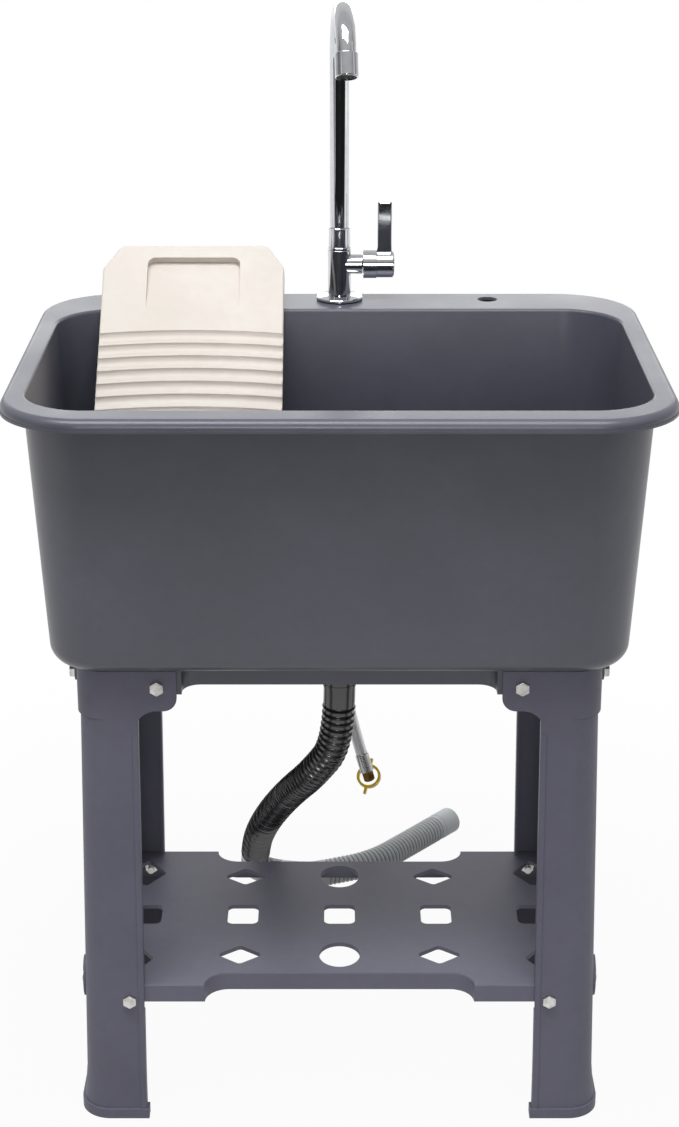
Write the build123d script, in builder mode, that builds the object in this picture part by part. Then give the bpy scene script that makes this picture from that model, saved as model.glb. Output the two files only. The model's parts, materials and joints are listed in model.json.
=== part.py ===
"""Utility laundry sink: moulded tub on four bolted legs, with shelf, tap, washboard and hoses.

Millimetres. X runs to the right, Y to the back, Z up. The origin lies on the floor under the
middle of the rim.
"""
from build123d import *
from math import acos, atan2, cos, degrees, pi, radians, sin, tan
import os

os.makedirs("parts", exist_ok=True)

# ---------------------------------------------------------------- driving dimensions
# rim and tub
rim_width = 650.0
rim_depth = 500.0
rim_height = 800.0
rim_corner = 85.0
rim_roll = 8.0
rim_skirt = 12.0
rim_bead = 0.8
rim_bead_height = 2.5
rim_wall = 3.5
tub_wall = 3.3
rim_side_reach = 20.2
rim_front_reach = 34.0
deck_depth = 75.2
wall_corner = 66.0
wall_draft = 3.5
mouth_roll = 3.3
tub_base = 522.5
base_round = 22.0
floor_wall = 3.5
plinth_height = 4.0
plinth_inset = 2.0
plinth_width = 24.0

# legs
leg_front_inset = 75.0
leg_rear_inset = 117.0
leg_side_inset = 63.0
leg_side = 62.0
leg_wall = 3.0
leg_corner = 30.0
leg_return = 12.0
notch_ease = 0.1
leg_top_gap = 0.5
leg_top_width = 60.0
leg_foot_width = 65.2
leg_splay = 9.0
leg_upper_band = 2.6
leg_band_height = 466.0
foot_flare = 3.6
foot_flare_height = 50.0
foot_sole = 5.0
foot_lip = 2.5
foot_lip_height = 11.0
bead_width = 6.0
bead_raise = 1.0
wing_length = 39.5
wing_reach = 43.0
wing_tip_round = 14.0
wing_hollow = 22.0
boss_raise = 3.0
side_bolt_inset = 45.0
lower_boss_half = 16.5
lower_boss_half_height = 23.0
upper_boss_radius = 10.0

# shelf and tub frame, two mouldings of one family
fit_gap = 0.3
tray_wall = 3.0
tray_recess = 25.0
frame_skirt = 26.5
frame_tab_length = 44.5
frame_recess_round = 18.0
frame_side_band = 81.3
frame_end_band = 55.7
frame_opening_corner = 30.0
shelf_height = 160.0
shelf_skirt = 20.0
shelf_tab_length = 60.5
shelf_tab_drop = 32.0
shelf_tab_reach = 70.0
outer_slot_offset = 12.0
hole_row_inset = 66.0
hole_collar_wall = 2.5
hole_collar_depth = 4.5
diamond_width = 50.0
diamond_depth = 39.0
diamond_round = 5.0
access_side_inset = 41.3
access_end_inset = 58.0
access_width = 44.0
access_depth = 65.0
slot_width = 34.0
slot_depth = 42.0
slot_round = 7.0
oval_width = 44.0
oval_depth = 51.0
shelf_rib = 2.4
shelf_rib_depth = 12.0
side_rib_inset = 37.0

# leg bolts, M8
bolt_radius = 4.0
bolt_length = 22.0
bolt_head_flats = 13.0
bolt_head_height = 5.3
nut_height = 6.5
washer_radius = 8.0
washer_height = 1.6
bolt_clearance = 0.3
head_sink = 3.5
head_sink_radius = 9.5
upper_bolt_height = 501.0
upper_bolt_inset = 20.0
lower_bolt_inset = 18.0
lower_front_bolt_height = 144.0
lower_side_bolt_height = 148.0

# washboard
board_width = 198.0
board_length = 511.0
board_thickness = 16.0
board_foot_reach = 47.8
board_side_inset = 66.5
board_cut_side = 19.0
board_cut_end = 31.0
board_edge_round = 2.0
board_wall = 3.5
rib_pitch = 16.6
rib_depth = 4.4
rib_crest = 2.6
rib_first = 114.0
rib_last_margin = 24.0
rib_bow_radius = 1100.0
soap_width = 101.0
soap_length = 72.0
soap_depth = 9.0
soap_from_end = 17.0
soap_round = 9.0
board_pocket_depth = 7.5
board_gap = 0.5

# drain
drain_flange_radius = 33.0
drain_flange_height = 2.5
drain_seal_height = 1.5
drain_neck_radius = 24.0
drain_neck_bottom = 486.0
drain_hole_gap = 1.0
drain_wall = 3.0
drain_tail_radius = 14.0
drain_tail_wall = 2.0
drain_tail_bottom = 440.0
drain_nut_radius = 31.0
drain_nut_height = 10.0
drain_washer_height = 2.5
basket_radius = 19.6
basket_depth = 20.0
basket_wall = 1.6
basket_rim = 3.4
basket_gap = 0.4
basket_hole = 2.1
knob_radius = 5.0
knob_height = 12.0

# tap
tap_inset = 33.0
deck_hole_x = 164.0
deck_hole_radius = 11.0
tap_shank_radius = 10.4
tap_shank_length = 42.0
tap_flange_radius = 25.5
tap_flange_height = 4.0
tap_gasket_height = 1.5
tap_body_radius = 12.8
tap_body_height = 51.5
waterway_radius = 6.0
stub_radius = 11.0
stub_reach = 25.5
valve_height = 34.5
cartridge_radius = 8.45
cartridge_seat = 8.0
spindle_radius = 3.95
running_gap = 0.05
spout_nut_height = 24.5
spout_nut_radius = 12.2
spout_radius = 10.5
spout_wall = 1.2
spout_bend = 55.0
spout_sweep = 155.0
spout_tail = 10.5
spout_top = 1130.0
spout_turn = 3.7
bush_radius = 11.35
bush_height = 12.0
aerator_radius = 12.3
aerator_length = 25.5
aerator_lap = 6.0
aerator_gap = 0.5
aerator_insert_radius = 10.3
aerator_insert_height = 6.0
hub_radius = 15.0
hub_ring_radius = 15.8
hub_ring_length = 15.0
hub_length = 34.0
hub_gap = 0.4
lever_width = 16.0
lever_thickness = 8.0
lever_reach = 70.0
lever_offset = 23.6
cap_radius = 10.0
cap_height = 2.0
tap_washer_radius = 16.0
tap_washer_height = 2.0
tap_nut_flats = 27.0
tap_nut_height = 8.0
union_nut_flats = 24.0
union_nut_height = 18.0
union_lap = 12.0

# supply hose, hanging from the tap's tail
supply_radius = 7.0
supply_bore = 4.5
crimp_radius = 8.0
crimp_length = 23.0
nipple_radius = 6.6
nipple_length = 13.0
clamp_band = 6.0
clamp_ring_radius = 14.4
clamp_thickness = 3.0
clamp_tilt = 48.0
clamp_ear_length = 9.0
clamp_ear_width = 4.5
clamp_hang = 3.4
clamp_back = 2.2

# drain hoses
cuff_radius = 17.2
cuff_top = 476.0
hose_bore = 14.0
hose_neck = 17.0
hose_neck_length = 21.0
hose_root = 16.0
hose_crest = 18.0
hose_rib_pitch = 7.6
hose_rib_flank = 0.8
hose_rib_crest = 1.5
elbow_radius = 17.2
elbow_bend = 29.0
outlet_bore = 12.5
outlet_neck = 16.6
outlet_neck_length = 4.0
outlet_root = 15.0
outlet_crest = 17.0
outlet_rib_pitch = 5.8
outlet_rib_flank = 1.1
outlet_rib_crest = 2.0

# the routes' points, chosen by hand
supply_route = [(0, 217, 730), (0, 217, 665), (-2, 218, 590), (-2, 219, 510), (-1, 219, 430),
                (2.5, 218, 355), (13.5, 217, 290), (26.3, 217, 245)]
drain_route = [(0, -21, 438), (0, -21, 370), (-30, 10, 317), (-51, 56, 277), (-69, 104, 235),
               (-83, 154, 193), (-94, 204, 151), (-102, 254, 108), (-106, 303, 62)]
cuff_corner = (-40.2, 334.9, 17.4)
outlet_bends = [(42.5, 368.5, 17.4), (88, 421.5, 17.4), (130, 472, 17.4)]
elbow_corner_reach = 132.6
elbow_outlet = 36.5
outlet_cuff_outlet = 25.0
outlet_end_length = 28.0

# ---------------------------------------------------------------- places worked out from them
wall_width = rim_width - 2 * rim_side_reach
wall_front = rim_front_reach - rim_depth / 2
wall_rear = rim_depth / 2 - deck_depth
tub_y = (wall_front + wall_rear) / 2
wall_depth = wall_rear - wall_front
tap_y = rim_depth / 2 - tap_inset
draft_rate = tan(radians(wall_draft))
floor_top = tub_base + floor_wall
frame_top = tub_base - plinth_height
frame_bottom = frame_top - frame_skirt
leg_top = frame_top - leg_top_gap
shelf_bottom = shelf_height - shelf_skirt
shelf_tab_bottom = shelf_height - shelf_tab_drop
sides = ((1, 1), (-1, 1), (1, -1), (-1, -1))
body_y = (leg_front_inset - leg_rear_inset) / 2
leg_half_depth = (rim_depth - leg_front_inset - leg_rear_inset) / 2
leg_outer_top = rim_width / 2 - leg_side_inset
leg_inner_top = leg_outer_top - leg_top_width
leg_outer_foot = leg_outer_top + leg_splay
leg_inner_foot = leg_outer_foot - leg_foot_width
wing_tip = leg_inner_top - wing_length


def leg_outer_at(height):
    """Outer half width of the tapering leg at a height above its foot flare."""
    share = (height - foot_flare_height) / (leg_band_height - foot_flare_height)
    return leg_outer_foot + (leg_outer_top - leg_outer_foot) * share


def leg_inner_at(height):
    """Inner half width of the tapering leg at a height above its foot flare."""
    share = (height - foot_flare_height) / (leg_band_height - foot_flare_height)
    return leg_inner_foot + (leg_inner_top - leg_inner_foot) * share


leg_band_x = leg_outer_top + leg_upper_band
tray_half_depth = leg_half_depth - leg_wall - fit_gap
frame_half_width = leg_band_x - leg_wall - fit_gap
shelf_half_width = leg_outer_at(shelf_height) - leg_wall - fit_gap
frame_tab = leg_inner_top - frame_tab_length
frame_opening_width = 2 * (frame_half_width - frame_side_band)
frame_opening_depth = 2 * (tray_half_depth - frame_end_band)
shelf_tab = leg_inner_top - shelf_tab_length
shelf_column_pitch = (leg_inner_top + outer_slot_offset) / 2
shelf_row_pitch = leg_half_depth - hole_row_inset
shelf_side_rib = leg_inner_top - side_rib_inset
access_x = leg_outer_top - access_side_inset
access_y = leg_half_depth - access_end_inset
side_bolt_y = leg_half_depth - side_bolt_inset
upper_front_bolt = leg_inner_top - upper_bolt_inset
lower_front_bolt = leg_inner_top + lower_bolt_inset
upper_boss_x = leg_band_x + boss_raise
lower_boss_x = leg_outer_at(lower_side_bolt_height) + boss_raise


# ---------------------------------------------------------------- tub
def tub_plan(height, inset, corner):
    """Rounded rectangle of the tub wall in plan, drawn in by an inset."""
    with BuildSketch(Plane((0, tub_y, height))) as plan:
        RectangleRounded(wall_width - 2 * inset, wall_depth - 2 * inset, corner - inset)
    return plan.sketch


with BuildPart() as basin:
    extrude(tub_plan(rim_height, tub_wall, wall_corner), rim_height - floor_top, dir=(0, 0, -1),
            taper=wall_draft)
    fillet(basin.faces().sort_by(Axis.Z)[0].edges(), base_round - tub_wall)

with BuildPart() as tub:
    extrude(tub_plan(rim_height, 0, wall_corner), rim_height - tub_base, dir=(0, 0, -1),
            taper=wall_draft)
    fillet(tub.faces().sort_by(Axis.Z)[0].edges(), base_round)
    base_inset = (rim_height - tub_base) * draft_rate + base_round + plinth_inset
    with BuildSketch(Plane((0, tub_y, frame_top))):
        RectangleRounded(wall_width - 2 * base_inset, wall_depth - 2 * base_inset, wall_corner / 2)
        RectangleRounded(wall_width - 2 * base_inset - 2 * plinth_width,
                         wall_depth - 2 * base_inset - 2 * plinth_width,
                         wall_corner / 4, mode=Mode.SUBTRACT)
    extrude(amount=plinth_height)
    with BuildSketch(Plane.XY.offset(rim_height - rim_skirt)):
        RectangleRounded(rim_width - 2 * rim_bead, rim_depth - 2 * rim_bead, rim_corner - rim_bead)
    extrude(amount=rim_skirt)
    fillet(tub.faces().sort_by(Axis.Z)[-1].edges(), rim_roll)
    with BuildSketch(Plane.XY.offset(rim_height - rim_skirt)):
        RectangleRounded(rim_width, rim_depth, rim_corner)
    extrude(amount=rim_bead_height)
    # hollow under the rim, between its skirt and the tub wall
    with BuildSketch(Plane.XY.offset(rim_height - rim_skirt)) as under_rim:
        RectangleRounded(rim_width - 2 * (rim_bead + rim_wall), rim_depth - 2 * (rim_bead + rim_wall),
                         rim_corner - rim_bead - rim_wall)
        with Locations((0, tub_y)):
            RectangleRounded(wall_width, wall_depth, wall_corner, mode=Mode.SUBTRACT)
    extrude(amount=rim_skirt - rim_wall, mode=Mode.SUBTRACT)
    add(basin.part, mode=Mode.SUBTRACT)
    mouth = tub.faces().sort_by(Axis.Z)[-1].inner_wires()[0]
    fillet(mouth.edges(), mouth_roll)
    with Locations((0, tap_y, rim_height), (deck_hole_x, tap_y, rim_height)):
        Hole(deck_hole_radius, rim_wall * 2)
    with Locations((0, body_y, floor_top)):
        Hole(drain_neck_radius + drain_hole_gap, floor_wall * 2)
tub.part.label = "tub"
export_step(tub.part, "parts/tub.step")


# ---------------------------------------------------------------- shelf and tub frame
def tray_plan(height, half_width, inset, tab, recess_round):
    """Plan of a tray: corner tabs in line with the legs and a hollowed front and rear edge."""
    with BuildSketch(Plane((0, body_y, height))) as plan:
        RectangleRounded(2 * (half_width - inset), 2 * (tray_half_depth - inset),
                         leg_corner - leg_wall - fit_gap - inset)
        for side in (1, -1):
            with Locations((0, side * (tray_half_depth + leg_side))):
                RectangleRounded(2 * (tab + inset), 2 * (tray_recess + leg_side + inset),
                                 recess_round + inset, mode=Mode.SUBTRACT)
    return plan.sketch


frame_plan = tray_plan(frame_bottom, frame_half_width, 0, frame_tab, frame_recess_round)
frame_hollow = tray_plan(frame_bottom, frame_half_width, tray_wall, frame_tab, frame_recess_round)
with BuildPart() as upper_frame:
    extrude(frame_plan, frame_skirt)
    extrude(frame_hollow, frame_skirt - tray_wall, mode=Mode.SUBTRACT)
    with BuildSketch(Plane((0, body_y, frame_bottom))):
        RectangleRounded(frame_opening_width + 2 * tray_wall, frame_opening_depth + 2 * tray_wall,
                         frame_opening_corner + tray_wall)
    extrude(amount=frame_skirt)
    with BuildSketch(Plane((0, body_y, frame_bottom))):
        RectangleRounded(frame_opening_width, frame_opening_depth, frame_opening_corner)
    extrude(amount=frame_skirt, mode=Mode.SUBTRACT)
    with BuildSketch(Plane.XZ.offset(leg_half_depth - body_y)):
        with Locations((upper_front_bolt, upper_bolt_height), (-upper_front_bolt, upper_bolt_height)):
            Circle(bolt_radius + bolt_clearance)
    extrude(amount=-2 * leg_half_depth, mode=Mode.SUBTRACT)
    with BuildSketch(Plane.YZ.offset(-leg_band_x)):
        with Locations((body_y + side_bolt_y, upper_bolt_height), (body_y - side_bolt_y, upper_bolt_height)):
            Circle(bolt_radius + bolt_clearance)
    extrude(amount=2 * leg_band_x, mode=Mode.SUBTRACT)
upper_frame.part.label = "upper_frame"
export_step(upper_frame.part, "parts/upper_frame.step")


def shelf_holes(height, grow):
    """Three rows of five drain holes, each grown by a wall: the corner ones are larger, over the nuts."""
    columns = [shelf_column_pitch * step for step in (-2, -1, 0, 1, 2)]
    with BuildSketch(Plane((0, body_y, height))) as holes:
        with GridLocations(2 * shelf_column_pitch, 2 * shelf_row_pitch, 2, 2):
            Polygon((-diamond_width / 2 - grow, 0), (0, -diamond_depth / 2 - grow),
                    (diamond_width / 2 + grow, 0), (0, diamond_depth / 2 + grow))
        with GridLocations(2 * access_x, 2 * access_y, 2, 2):
            Polygon((-access_width / 2 - grow, 0), (0, -access_depth / 2 - grow),
                    (access_width / 2 + grow, 0), (0, access_depth / 2 + grow))
        fillet(holes.vertices(), diamond_round)
        with Locations(*[(x, 0) for x in columns]):
            RectangleRounded(slot_width + 2 * grow, slot_depth + 2 * grow, slot_round + grow)
        with Locations((0, -shelf_row_pitch), (0, shelf_row_pitch)):
            Ellipse(oval_width / 2 + grow, oval_depth / 2 + grow)
    return holes.sketch


shelf_plan = tray_plan(shelf_tab_bottom, shelf_half_width, 0, shelf_tab, tray_recess)
shelf_hollow = tray_plan(shelf_tab_bottom, shelf_half_width, tray_wall, shelf_tab, tray_recess)
collars = shelf_holes(shelf_height - hole_collar_depth, hole_collar_wall)
drains = shelf_holes(shelf_height, 0)
with BuildPart() as shelf:
    extrude(shelf_plan, shelf_tab_drop)
    fillet(shelf.faces().sort_by(Axis.Z)[-1].edges(), tray_wall / 2)
    extrude(shelf_hollow, shelf_tab_drop - tray_wall, mode=Mode.SUBTRACT)
    # the deep skirt stays only at the corners, behind the legs
    with BuildSketch(Plane((0, body_y, shelf_tab_bottom))):
        Rectangle(2 * (leg_inner_at(shelf_height) + leg_wall), 3 * leg_half_depth)
        Rectangle(3 * leg_outer_foot, 2 * (leg_half_depth - shelf_tab_reach))
    extrude(amount=shelf_tab_drop - shelf_skirt, mode=Mode.SUBTRACT)
    # stiffening ribs under the plate, between the rows of holes and beside the tabs
    with BuildSketch(Plane((0, body_y, shelf_height - shelf_rib_depth))):
        with GridLocations(0, shelf_row_pitch, 1, 2):
            Rectangle(2 * shelf_half_width - tray_wall, shelf_rib)
        with GridLocations(2 * shelf_side_rib, 0, 2, 1):
            Rectangle(shelf_rib, 2 * tray_half_depth - tray_wall)
    extrude(amount=shelf_rib_depth - tray_wall / 2)
    extrude(collars, hole_collar_depth - tray_wall / 2)
    extrude(drains, shelf_skirt, both=True, mode=Mode.SUBTRACT)
    with BuildSketch(Plane.XZ.offset(leg_half_depth - body_y)):
        with Locations((lower_front_bolt, lower_front_bolt_height),
                       (-lower_front_bolt, lower_front_bolt_height)):
            Circle(bolt_radius + bolt_clearance)
    extrude(amount=-2 * leg_half_depth, mode=Mode.SUBTRACT)
    with BuildSketch(Plane.YZ.offset(-leg_outer_foot)):
        with Locations((body_y + side_bolt_y, lower_side_bolt_height),
                       (body_y - side_bolt_y, lower_side_bolt_height)):
            Circle(bolt_radius + bolt_clearance)
    extrude(amount=2 * leg_outer_foot, mode=Mode.SUBTRACT)
shelf.part.label = "shelf"
export_step(shelf.part, "parts/shelf.step")


# ---------------------------------------------------------------- legs
def leg_plan(height, inner, outer, inset):
    """Plan of a front right leg at one height: a box with its outer front corner rounded."""
    front = -leg_half_depth + inset
    back = -leg_half_depth + leg_side - inset
    corner = leg_corner - inset
    right = outer - inset
    left = inner + inset
    with BuildSketch(Plane((0, body_y, height))) as plan:
        with BuildLine():
            Line((left, front), (right - corner, front))
            RadiusArc((right - corner, front), (right, front + corner), -corner)
            Line((right, front + corner), (right, back))
            Line((right, back), (left, back))
            Line((left, back), (left, front))
        make_face()
    return plan.sketch


lower_outline = [
    (0, leg_inner_foot, leg_outer_foot + foot_flare),
    (foot_lip_height, leg_inner_foot, leg_outer_foot + foot_flare),
    (foot_flare_height, leg_inner_foot, leg_outer_foot),
    (leg_band_height, leg_inner_top, leg_outer_top)]
hollow_outline = [(foot_sole, *lower_outline[1][1:])] + lower_outline[1:]
leg_sections = [leg_plan(z, inner, outer, 0) for z, inner, outer in lower_outline]
hollow_sections = [leg_plan(z, inner, outer, leg_wall) for z, inner, outer in hollow_outline]
band_section = leg_plan(leg_band_height, leg_inner_top, leg_band_x, 0)
band_hollow = leg_plan(leg_band_height, leg_inner_top, leg_band_x, leg_wall)
sole_section = leg_plan(0, leg_inner_foot, leg_outer_foot + foot_flare, -foot_lip)
leg_front = leg_half_depth - body_y
with BuildPart() as leg:
    loft(leg_sections, ruled=True)
    extrude(band_section, leg_top - leg_band_height)
    # lip round the foot and bead down the inner edge
    extrude(sole_section, foot_lip_height)
    with BuildSketch(Plane.XZ.offset(leg_front)):
        Polygon((leg_inner_foot, foot_lip_height), (leg_inner_foot + bead_width, foot_lip_height),
                (leg_inner_foot + bead_width, foot_flare_height),
                (leg_inner_top + bead_width, frame_bottom - wing_reach),
                (leg_inner_top, frame_bottom - wing_reach), (leg_inner_foot, foot_flare_height), align=None)
    extrude(amount=bead_raise)
    # bosses of the side bolts
    with BuildSketch(Plane.YZ.offset(lower_boss_x)):
        with Locations((body_y - side_bolt_y, lower_side_bolt_height)):
            Ellipse(lower_boss_half, lower_boss_half_height)
    extrude(amount=-leg_wall * 4)
    with BuildSketch(Plane.YZ.offset(upper_boss_x)):
        with Locations((body_y - side_bolt_y, upper_bolt_height)):
            Circle(upper_boss_radius)
    extrude(amount=-leg_wall * 2)
    # hollow inside, then the inner corner is opened so that two returns stay
    loft(hollow_sections, ruled=True, mode=Mode.SUBTRACT)
    extrude(band_hollow, leg_top - leg_band_height, mode=Mode.SUBTRACT)
    return_x = leg_band_x - leg_return - leg_wall
    with BuildSketch(Plane.XY):
        with Locations((return_x, body_y - leg_half_depth + leg_return)):
            Rectangle(leg_side * 2, leg_side * 2, align=(Align.MAX, Align.MIN))
    extrude(amount=leg_top, mode=Mode.SUBTRACT)
    # the returns give way to the frame and to the shelf
    for low, high, half_width in ((frame_bottom, leg_top, frame_half_width),
                                  (shelf_tab_bottom, shelf_height, shelf_half_width)):
        with BuildSketch(Plane((0, body_y, low - fit_gap))):
            RectangleRounded(2 * (half_width + fit_gap - notch_ease),
                             2 * (leg_half_depth - leg_wall - notch_ease), leg_corner - leg_wall - notch_ease)
        extrude(amount=high - low + 2 * fit_gap, mode=Mode.SUBTRACT)
    # wing that reaches inwards to the frame bolt
    with BuildSketch(Plane.XZ.offset(leg_front)) as wing:
        with BuildLine():
            wing_low = leg_top - wing_reach
            hollow_x = leg_inner_top + leg_wall - wing_hollow
            Polyline((leg_inner_top + leg_wall, leg_top), (wing_tip, leg_top), (wing_tip, wing_low),
                     (hollow_x, wing_low))
            RadiusArc((hollow_x, wing_low), (leg_inner_top + leg_wall, wing_low - wing_hollow), wing_hollow)
            Line((leg_inner_top + leg_wall, wing_low - wing_hollow), (leg_inner_top + leg_wall, leg_top))
        make_face()
        fillet(wing.vertices().group_by(Axis.X)[0].sort_by(Axis.Y)[0], wing_tip_round)
    extrude(amount=-leg_wall)
    with BuildSketch(Plane.XZ.offset(leg_front + foot_lip)):
        with Locations((upper_front_bolt, upper_bolt_height), (lower_front_bolt, lower_front_bolt_height)):
            Circle(bolt_radius + bolt_clearance)
    extrude(amount=-leg_side / 2, mode=Mode.SUBTRACT)
    with BuildSketch(Plane.YZ.offset(return_x)):
        with Locations((body_y - side_bolt_y, upper_bolt_height), (body_y - side_bolt_y, lower_side_bolt_height)):
            Circle(bolt_radius + bolt_clearance)
    extrude(amount=leg_side, mode=Mode.SUBTRACT)
    with BuildSketch(Plane.YZ.offset(lower_boss_x)):
        with Locations((body_y - side_bolt_y, lower_side_bolt_height)):
            Circle(head_sink_radius)
    extrude(amount=-head_sink, mode=Mode.SUBTRACT)

side_mirror = Plane.YZ
depth_mirror = Plane.XZ.offset(-body_y)
legs = {
    "leg_front_right": leg.part,
    "leg_front_left": leg.part.mirror(side_mirror),
    "leg_rear_right": leg.part.mirror(depth_mirror),
    "leg_rear_left": leg.part.mirror(side_mirror).mirror(depth_mirror),
}
for leg_name, leg_part in legs.items():
    leg_part.label = leg_name
    export_step(leg_part, f"parts/{leg_name}.step")


# ---------------------------------------------------------------- leg bolts, washers and nuts
def bolt_seats(front_x, front_z, side_face, side_z):
    """Planes on the outer faces of the legs, each looking into the frame or shelf."""
    seats = []
    for side_x, side_y in sides:
        face_y = body_y + side_y * leg_half_depth
        seats.append(Plane((side_x * front_x, face_y, front_z), z_dir=(0, -side_y, 0)))
        side_y_place = body_y + side_y * side_bolt_y
        seats.append(Plane((side_x * side_face, side_y_place, side_z), z_dir=(-side_x, 0, 0)))
    return seats


upper_seats = bolt_seats(upper_front_bolt, upper_bolt_height, upper_boss_x, upper_bolt_height)
lower_seats = bolt_seats(lower_front_bolt, lower_front_bolt_height, lower_boss_x - head_sink,
                         lower_side_bolt_height)
hex_radius = bolt_head_flats / 2 / cos(pi / 6)
front_grip = leg_wall + fit_gap + tray_wall
grips = {
    "upper": (front_grip, upper_boss_x - frame_half_width + tray_wall),
    "lower": (front_grip, lower_boss_x - head_sink - shelf_half_width + tray_wall),
}
for level, seats in (("upper", upper_seats), ("lower", lower_seats)):
    with BuildPart() as bolts:
        with Locations(*seats):
            Cylinder(bolt_radius, bolt_length, align=(Align.CENTER, Align.CENTER, Align.MIN))
        for seat in seats:
            with BuildSketch(seat):
                RegularPolygon(hex_radius, 6)
            extrude(amount=-bolt_head_height)
            with BuildSketch(seat.offset(-bolt_head_height)):
                Circle(bolt_head_flats / 2 - 0.4)
            extrude(amount=-0.3)
    bolts.part.label = f"{level}_leg_bolts"
    export_step(bolts.part, f"parts/{level}_leg_bolts.step")
    with BuildPart() as washers:
        for index, seat in enumerate(seats):
            with BuildSketch(seat.offset(grips[level][index % 2])):
                Circle(washer_radius)
                Circle(bolt_radius + bolt_clearance, mode=Mode.SUBTRACT)
            extrude(amount=washer_height)
    washers.part.label = f"{level}_leg_washers"
    export_step(washers.part, f"parts/{level}_leg_washers.step")
    with BuildPart() as nuts:
        for index, seat in enumerate(seats):
            with BuildSketch(seat.offset(grips[level][index % 2] + washer_height)):
                RegularPolygon(hex_radius, 6)
                Circle(bolt_radius + running_gap, mode=Mode.SUBTRACT)
            extrude(amount=nut_height)
    nuts.part.label = f"{level}_leg_nuts"
    export_step(nuts.part, f"parts/{level}_leg_nuts.step")

# ---------------------------------------------------------------- washboard
# It leans on the rounded rear edge of the tub's mouth, where its left side meets the mouth's
# corner first, and stands on the tub floor, a foot's reach behind the tub's front.
def board_contact(slope):
    """Y and Z where the board's back passes the mouth's edge, at a slope in radians."""
    rest = mouth_roll + board_gap + corner_fall * sin(slope)
    return mouth_y - rest * sin(slope), rim_height - mouth_roll + rest * cos(slope)


board_x = board_side_inset + board_width / 2 - rim_width / 2
mouth_y = wall_rear - tub_wall + mouth_roll
mouth_corner = wall_corner - tub_wall + mouth_roll
corner_overlap = board_width / 2 - board_x - (wall_width / 2 - wall_corner)
corner_fall = mouth_corner - (mouth_corner ** 2 - corner_overlap ** 2) ** 0.5
lean = pi / 4
for settle in range(12):
    lean_y, lean_z = board_contact(lean)
    lean = atan2(lean_z - floor_top - fit_gap, lean_y - wall_front - board_foot_reach)
lean_y, lean_z = board_contact(lean)
board_low = (lean_z - floor_top - fit_gap) / sin(lean)
board_high = board_length - board_low
board_plane = Plane((board_x, lean_y, lean_z), x_dir=(1, 0, 0), z_dir=(0, -sin(lean), cos(lean)))
rib_top = board_high - rib_first
rib_count = int((board_length - rib_first - rib_last_margin) / rib_pitch)
rib_chord = rib_pitch - rib_crest
scallop_radius = (rib_chord ** 2 / 4 + rib_depth ** 2) / (2 * rib_depth)
bow_centre = rib_top - rib_bow_radius
bow_plane = Plane(board_plane.from_local_coords((0, bow_centre, 0)), x_dir=board_plane.y_dir,
                  z_dir=board_plane.x_dir)
bow_axis = Axis(board_plane.from_local_coords((0, bow_centre, 0)), board_plane.z_dir)
bow_turn = 16.0
soap_top = board_high - soap_from_end
pocket_columns = 3
pocket_rows = 5
pocket_length = (rib_pitch * rib_count + rib_last_margin - board_wall * (pocket_rows + 1)) / pocket_rows
pocket_width = (board_width - board_wall * (pocket_columns + 1)) / pocket_columns
pocket_middle = rib_top - (rib_pitch * rib_count + rib_last_margin) / 2

with BuildPart() as ripple:
    with BuildSketch(bow_plane):
        for index in range(rib_count):
            with Locations((rib_bow_radius - rib_pitch * (index + 0.5),
                            board_thickness - rib_depth + scallop_radius)):
                Circle(scallop_radius)
    revolve(axis=bow_axis, revolution_arc=bow_turn)
ripple_cut = ripple.part.rotate(bow_axis, -bow_turn / 2)

with BuildPart() as washboard:
    with BuildSketch(board_plane):
        with BuildLine():
            half = board_width / 2
            Polyline((-half, -board_low), (half, -board_low), (half, board_high - board_cut_end),
                     (half - board_cut_side, board_high), (board_cut_side - half, board_high),
                     (-half, board_high - board_cut_end), close=True)
        make_face()
    extrude(amount=board_thickness)
    corner_edges = washboard.edges().filter_by(lambda e: abs(e.length - board_thickness) < 1e-6)
    fillet(corner_edges.sort_by(Axis(board_plane.origin, board_plane.y_dir))[-4:], soap_round)
    face_axis = Axis(board_plane.origin, board_plane.z_dir)
    fillet(washboard.faces().sort_by(face_axis)[-1].edges(), board_edge_round)
    # soap rest: a ramp, deepest at its upper end
    with BuildSketch(board_plane.offset(board_thickness - soap_depth)):
        with Locations((0, soap_top - soap_length / 2)):
            RectangleRounded(soap_width, soap_length, soap_round)
    soap_cut = extrude(amount=soap_depth * 2, mode=Mode.PRIVATE)
    with BuildSketch(Plane(board_plane.origin, x_dir=board_plane.y_dir, z_dir=board_plane.x_dir)):
        Polygon((soap_top, board_thickness - soap_depth), (soap_top, board_thickness * 2),
                (soap_top - soap_length, board_thickness * 2), (soap_top - soap_length, board_thickness),
                align=None)
    soap_ramp = extrude(amount=soap_width, both=True, mode=Mode.PRIVATE)
    add(soap_cut & soap_ramp, mode=Mode.SUBTRACT)
    add(ripple_cut, mode=Mode.SUBTRACT)
    # open pockets in the back
    with BuildSketch(board_plane):
        with Locations((0, pocket_middle)):
            with GridLocations(pocket_width + board_wall, pocket_length + board_wall,
                               pocket_columns, pocket_rows):
                RectangleRounded(pocket_width, pocket_length, board_wall)
    extrude(amount=board_pocket_depth, mode=Mode.SUBTRACT)
washboard.part.label = "washboard"
export_step(washboard.part, "parts/washboard.step")


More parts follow.
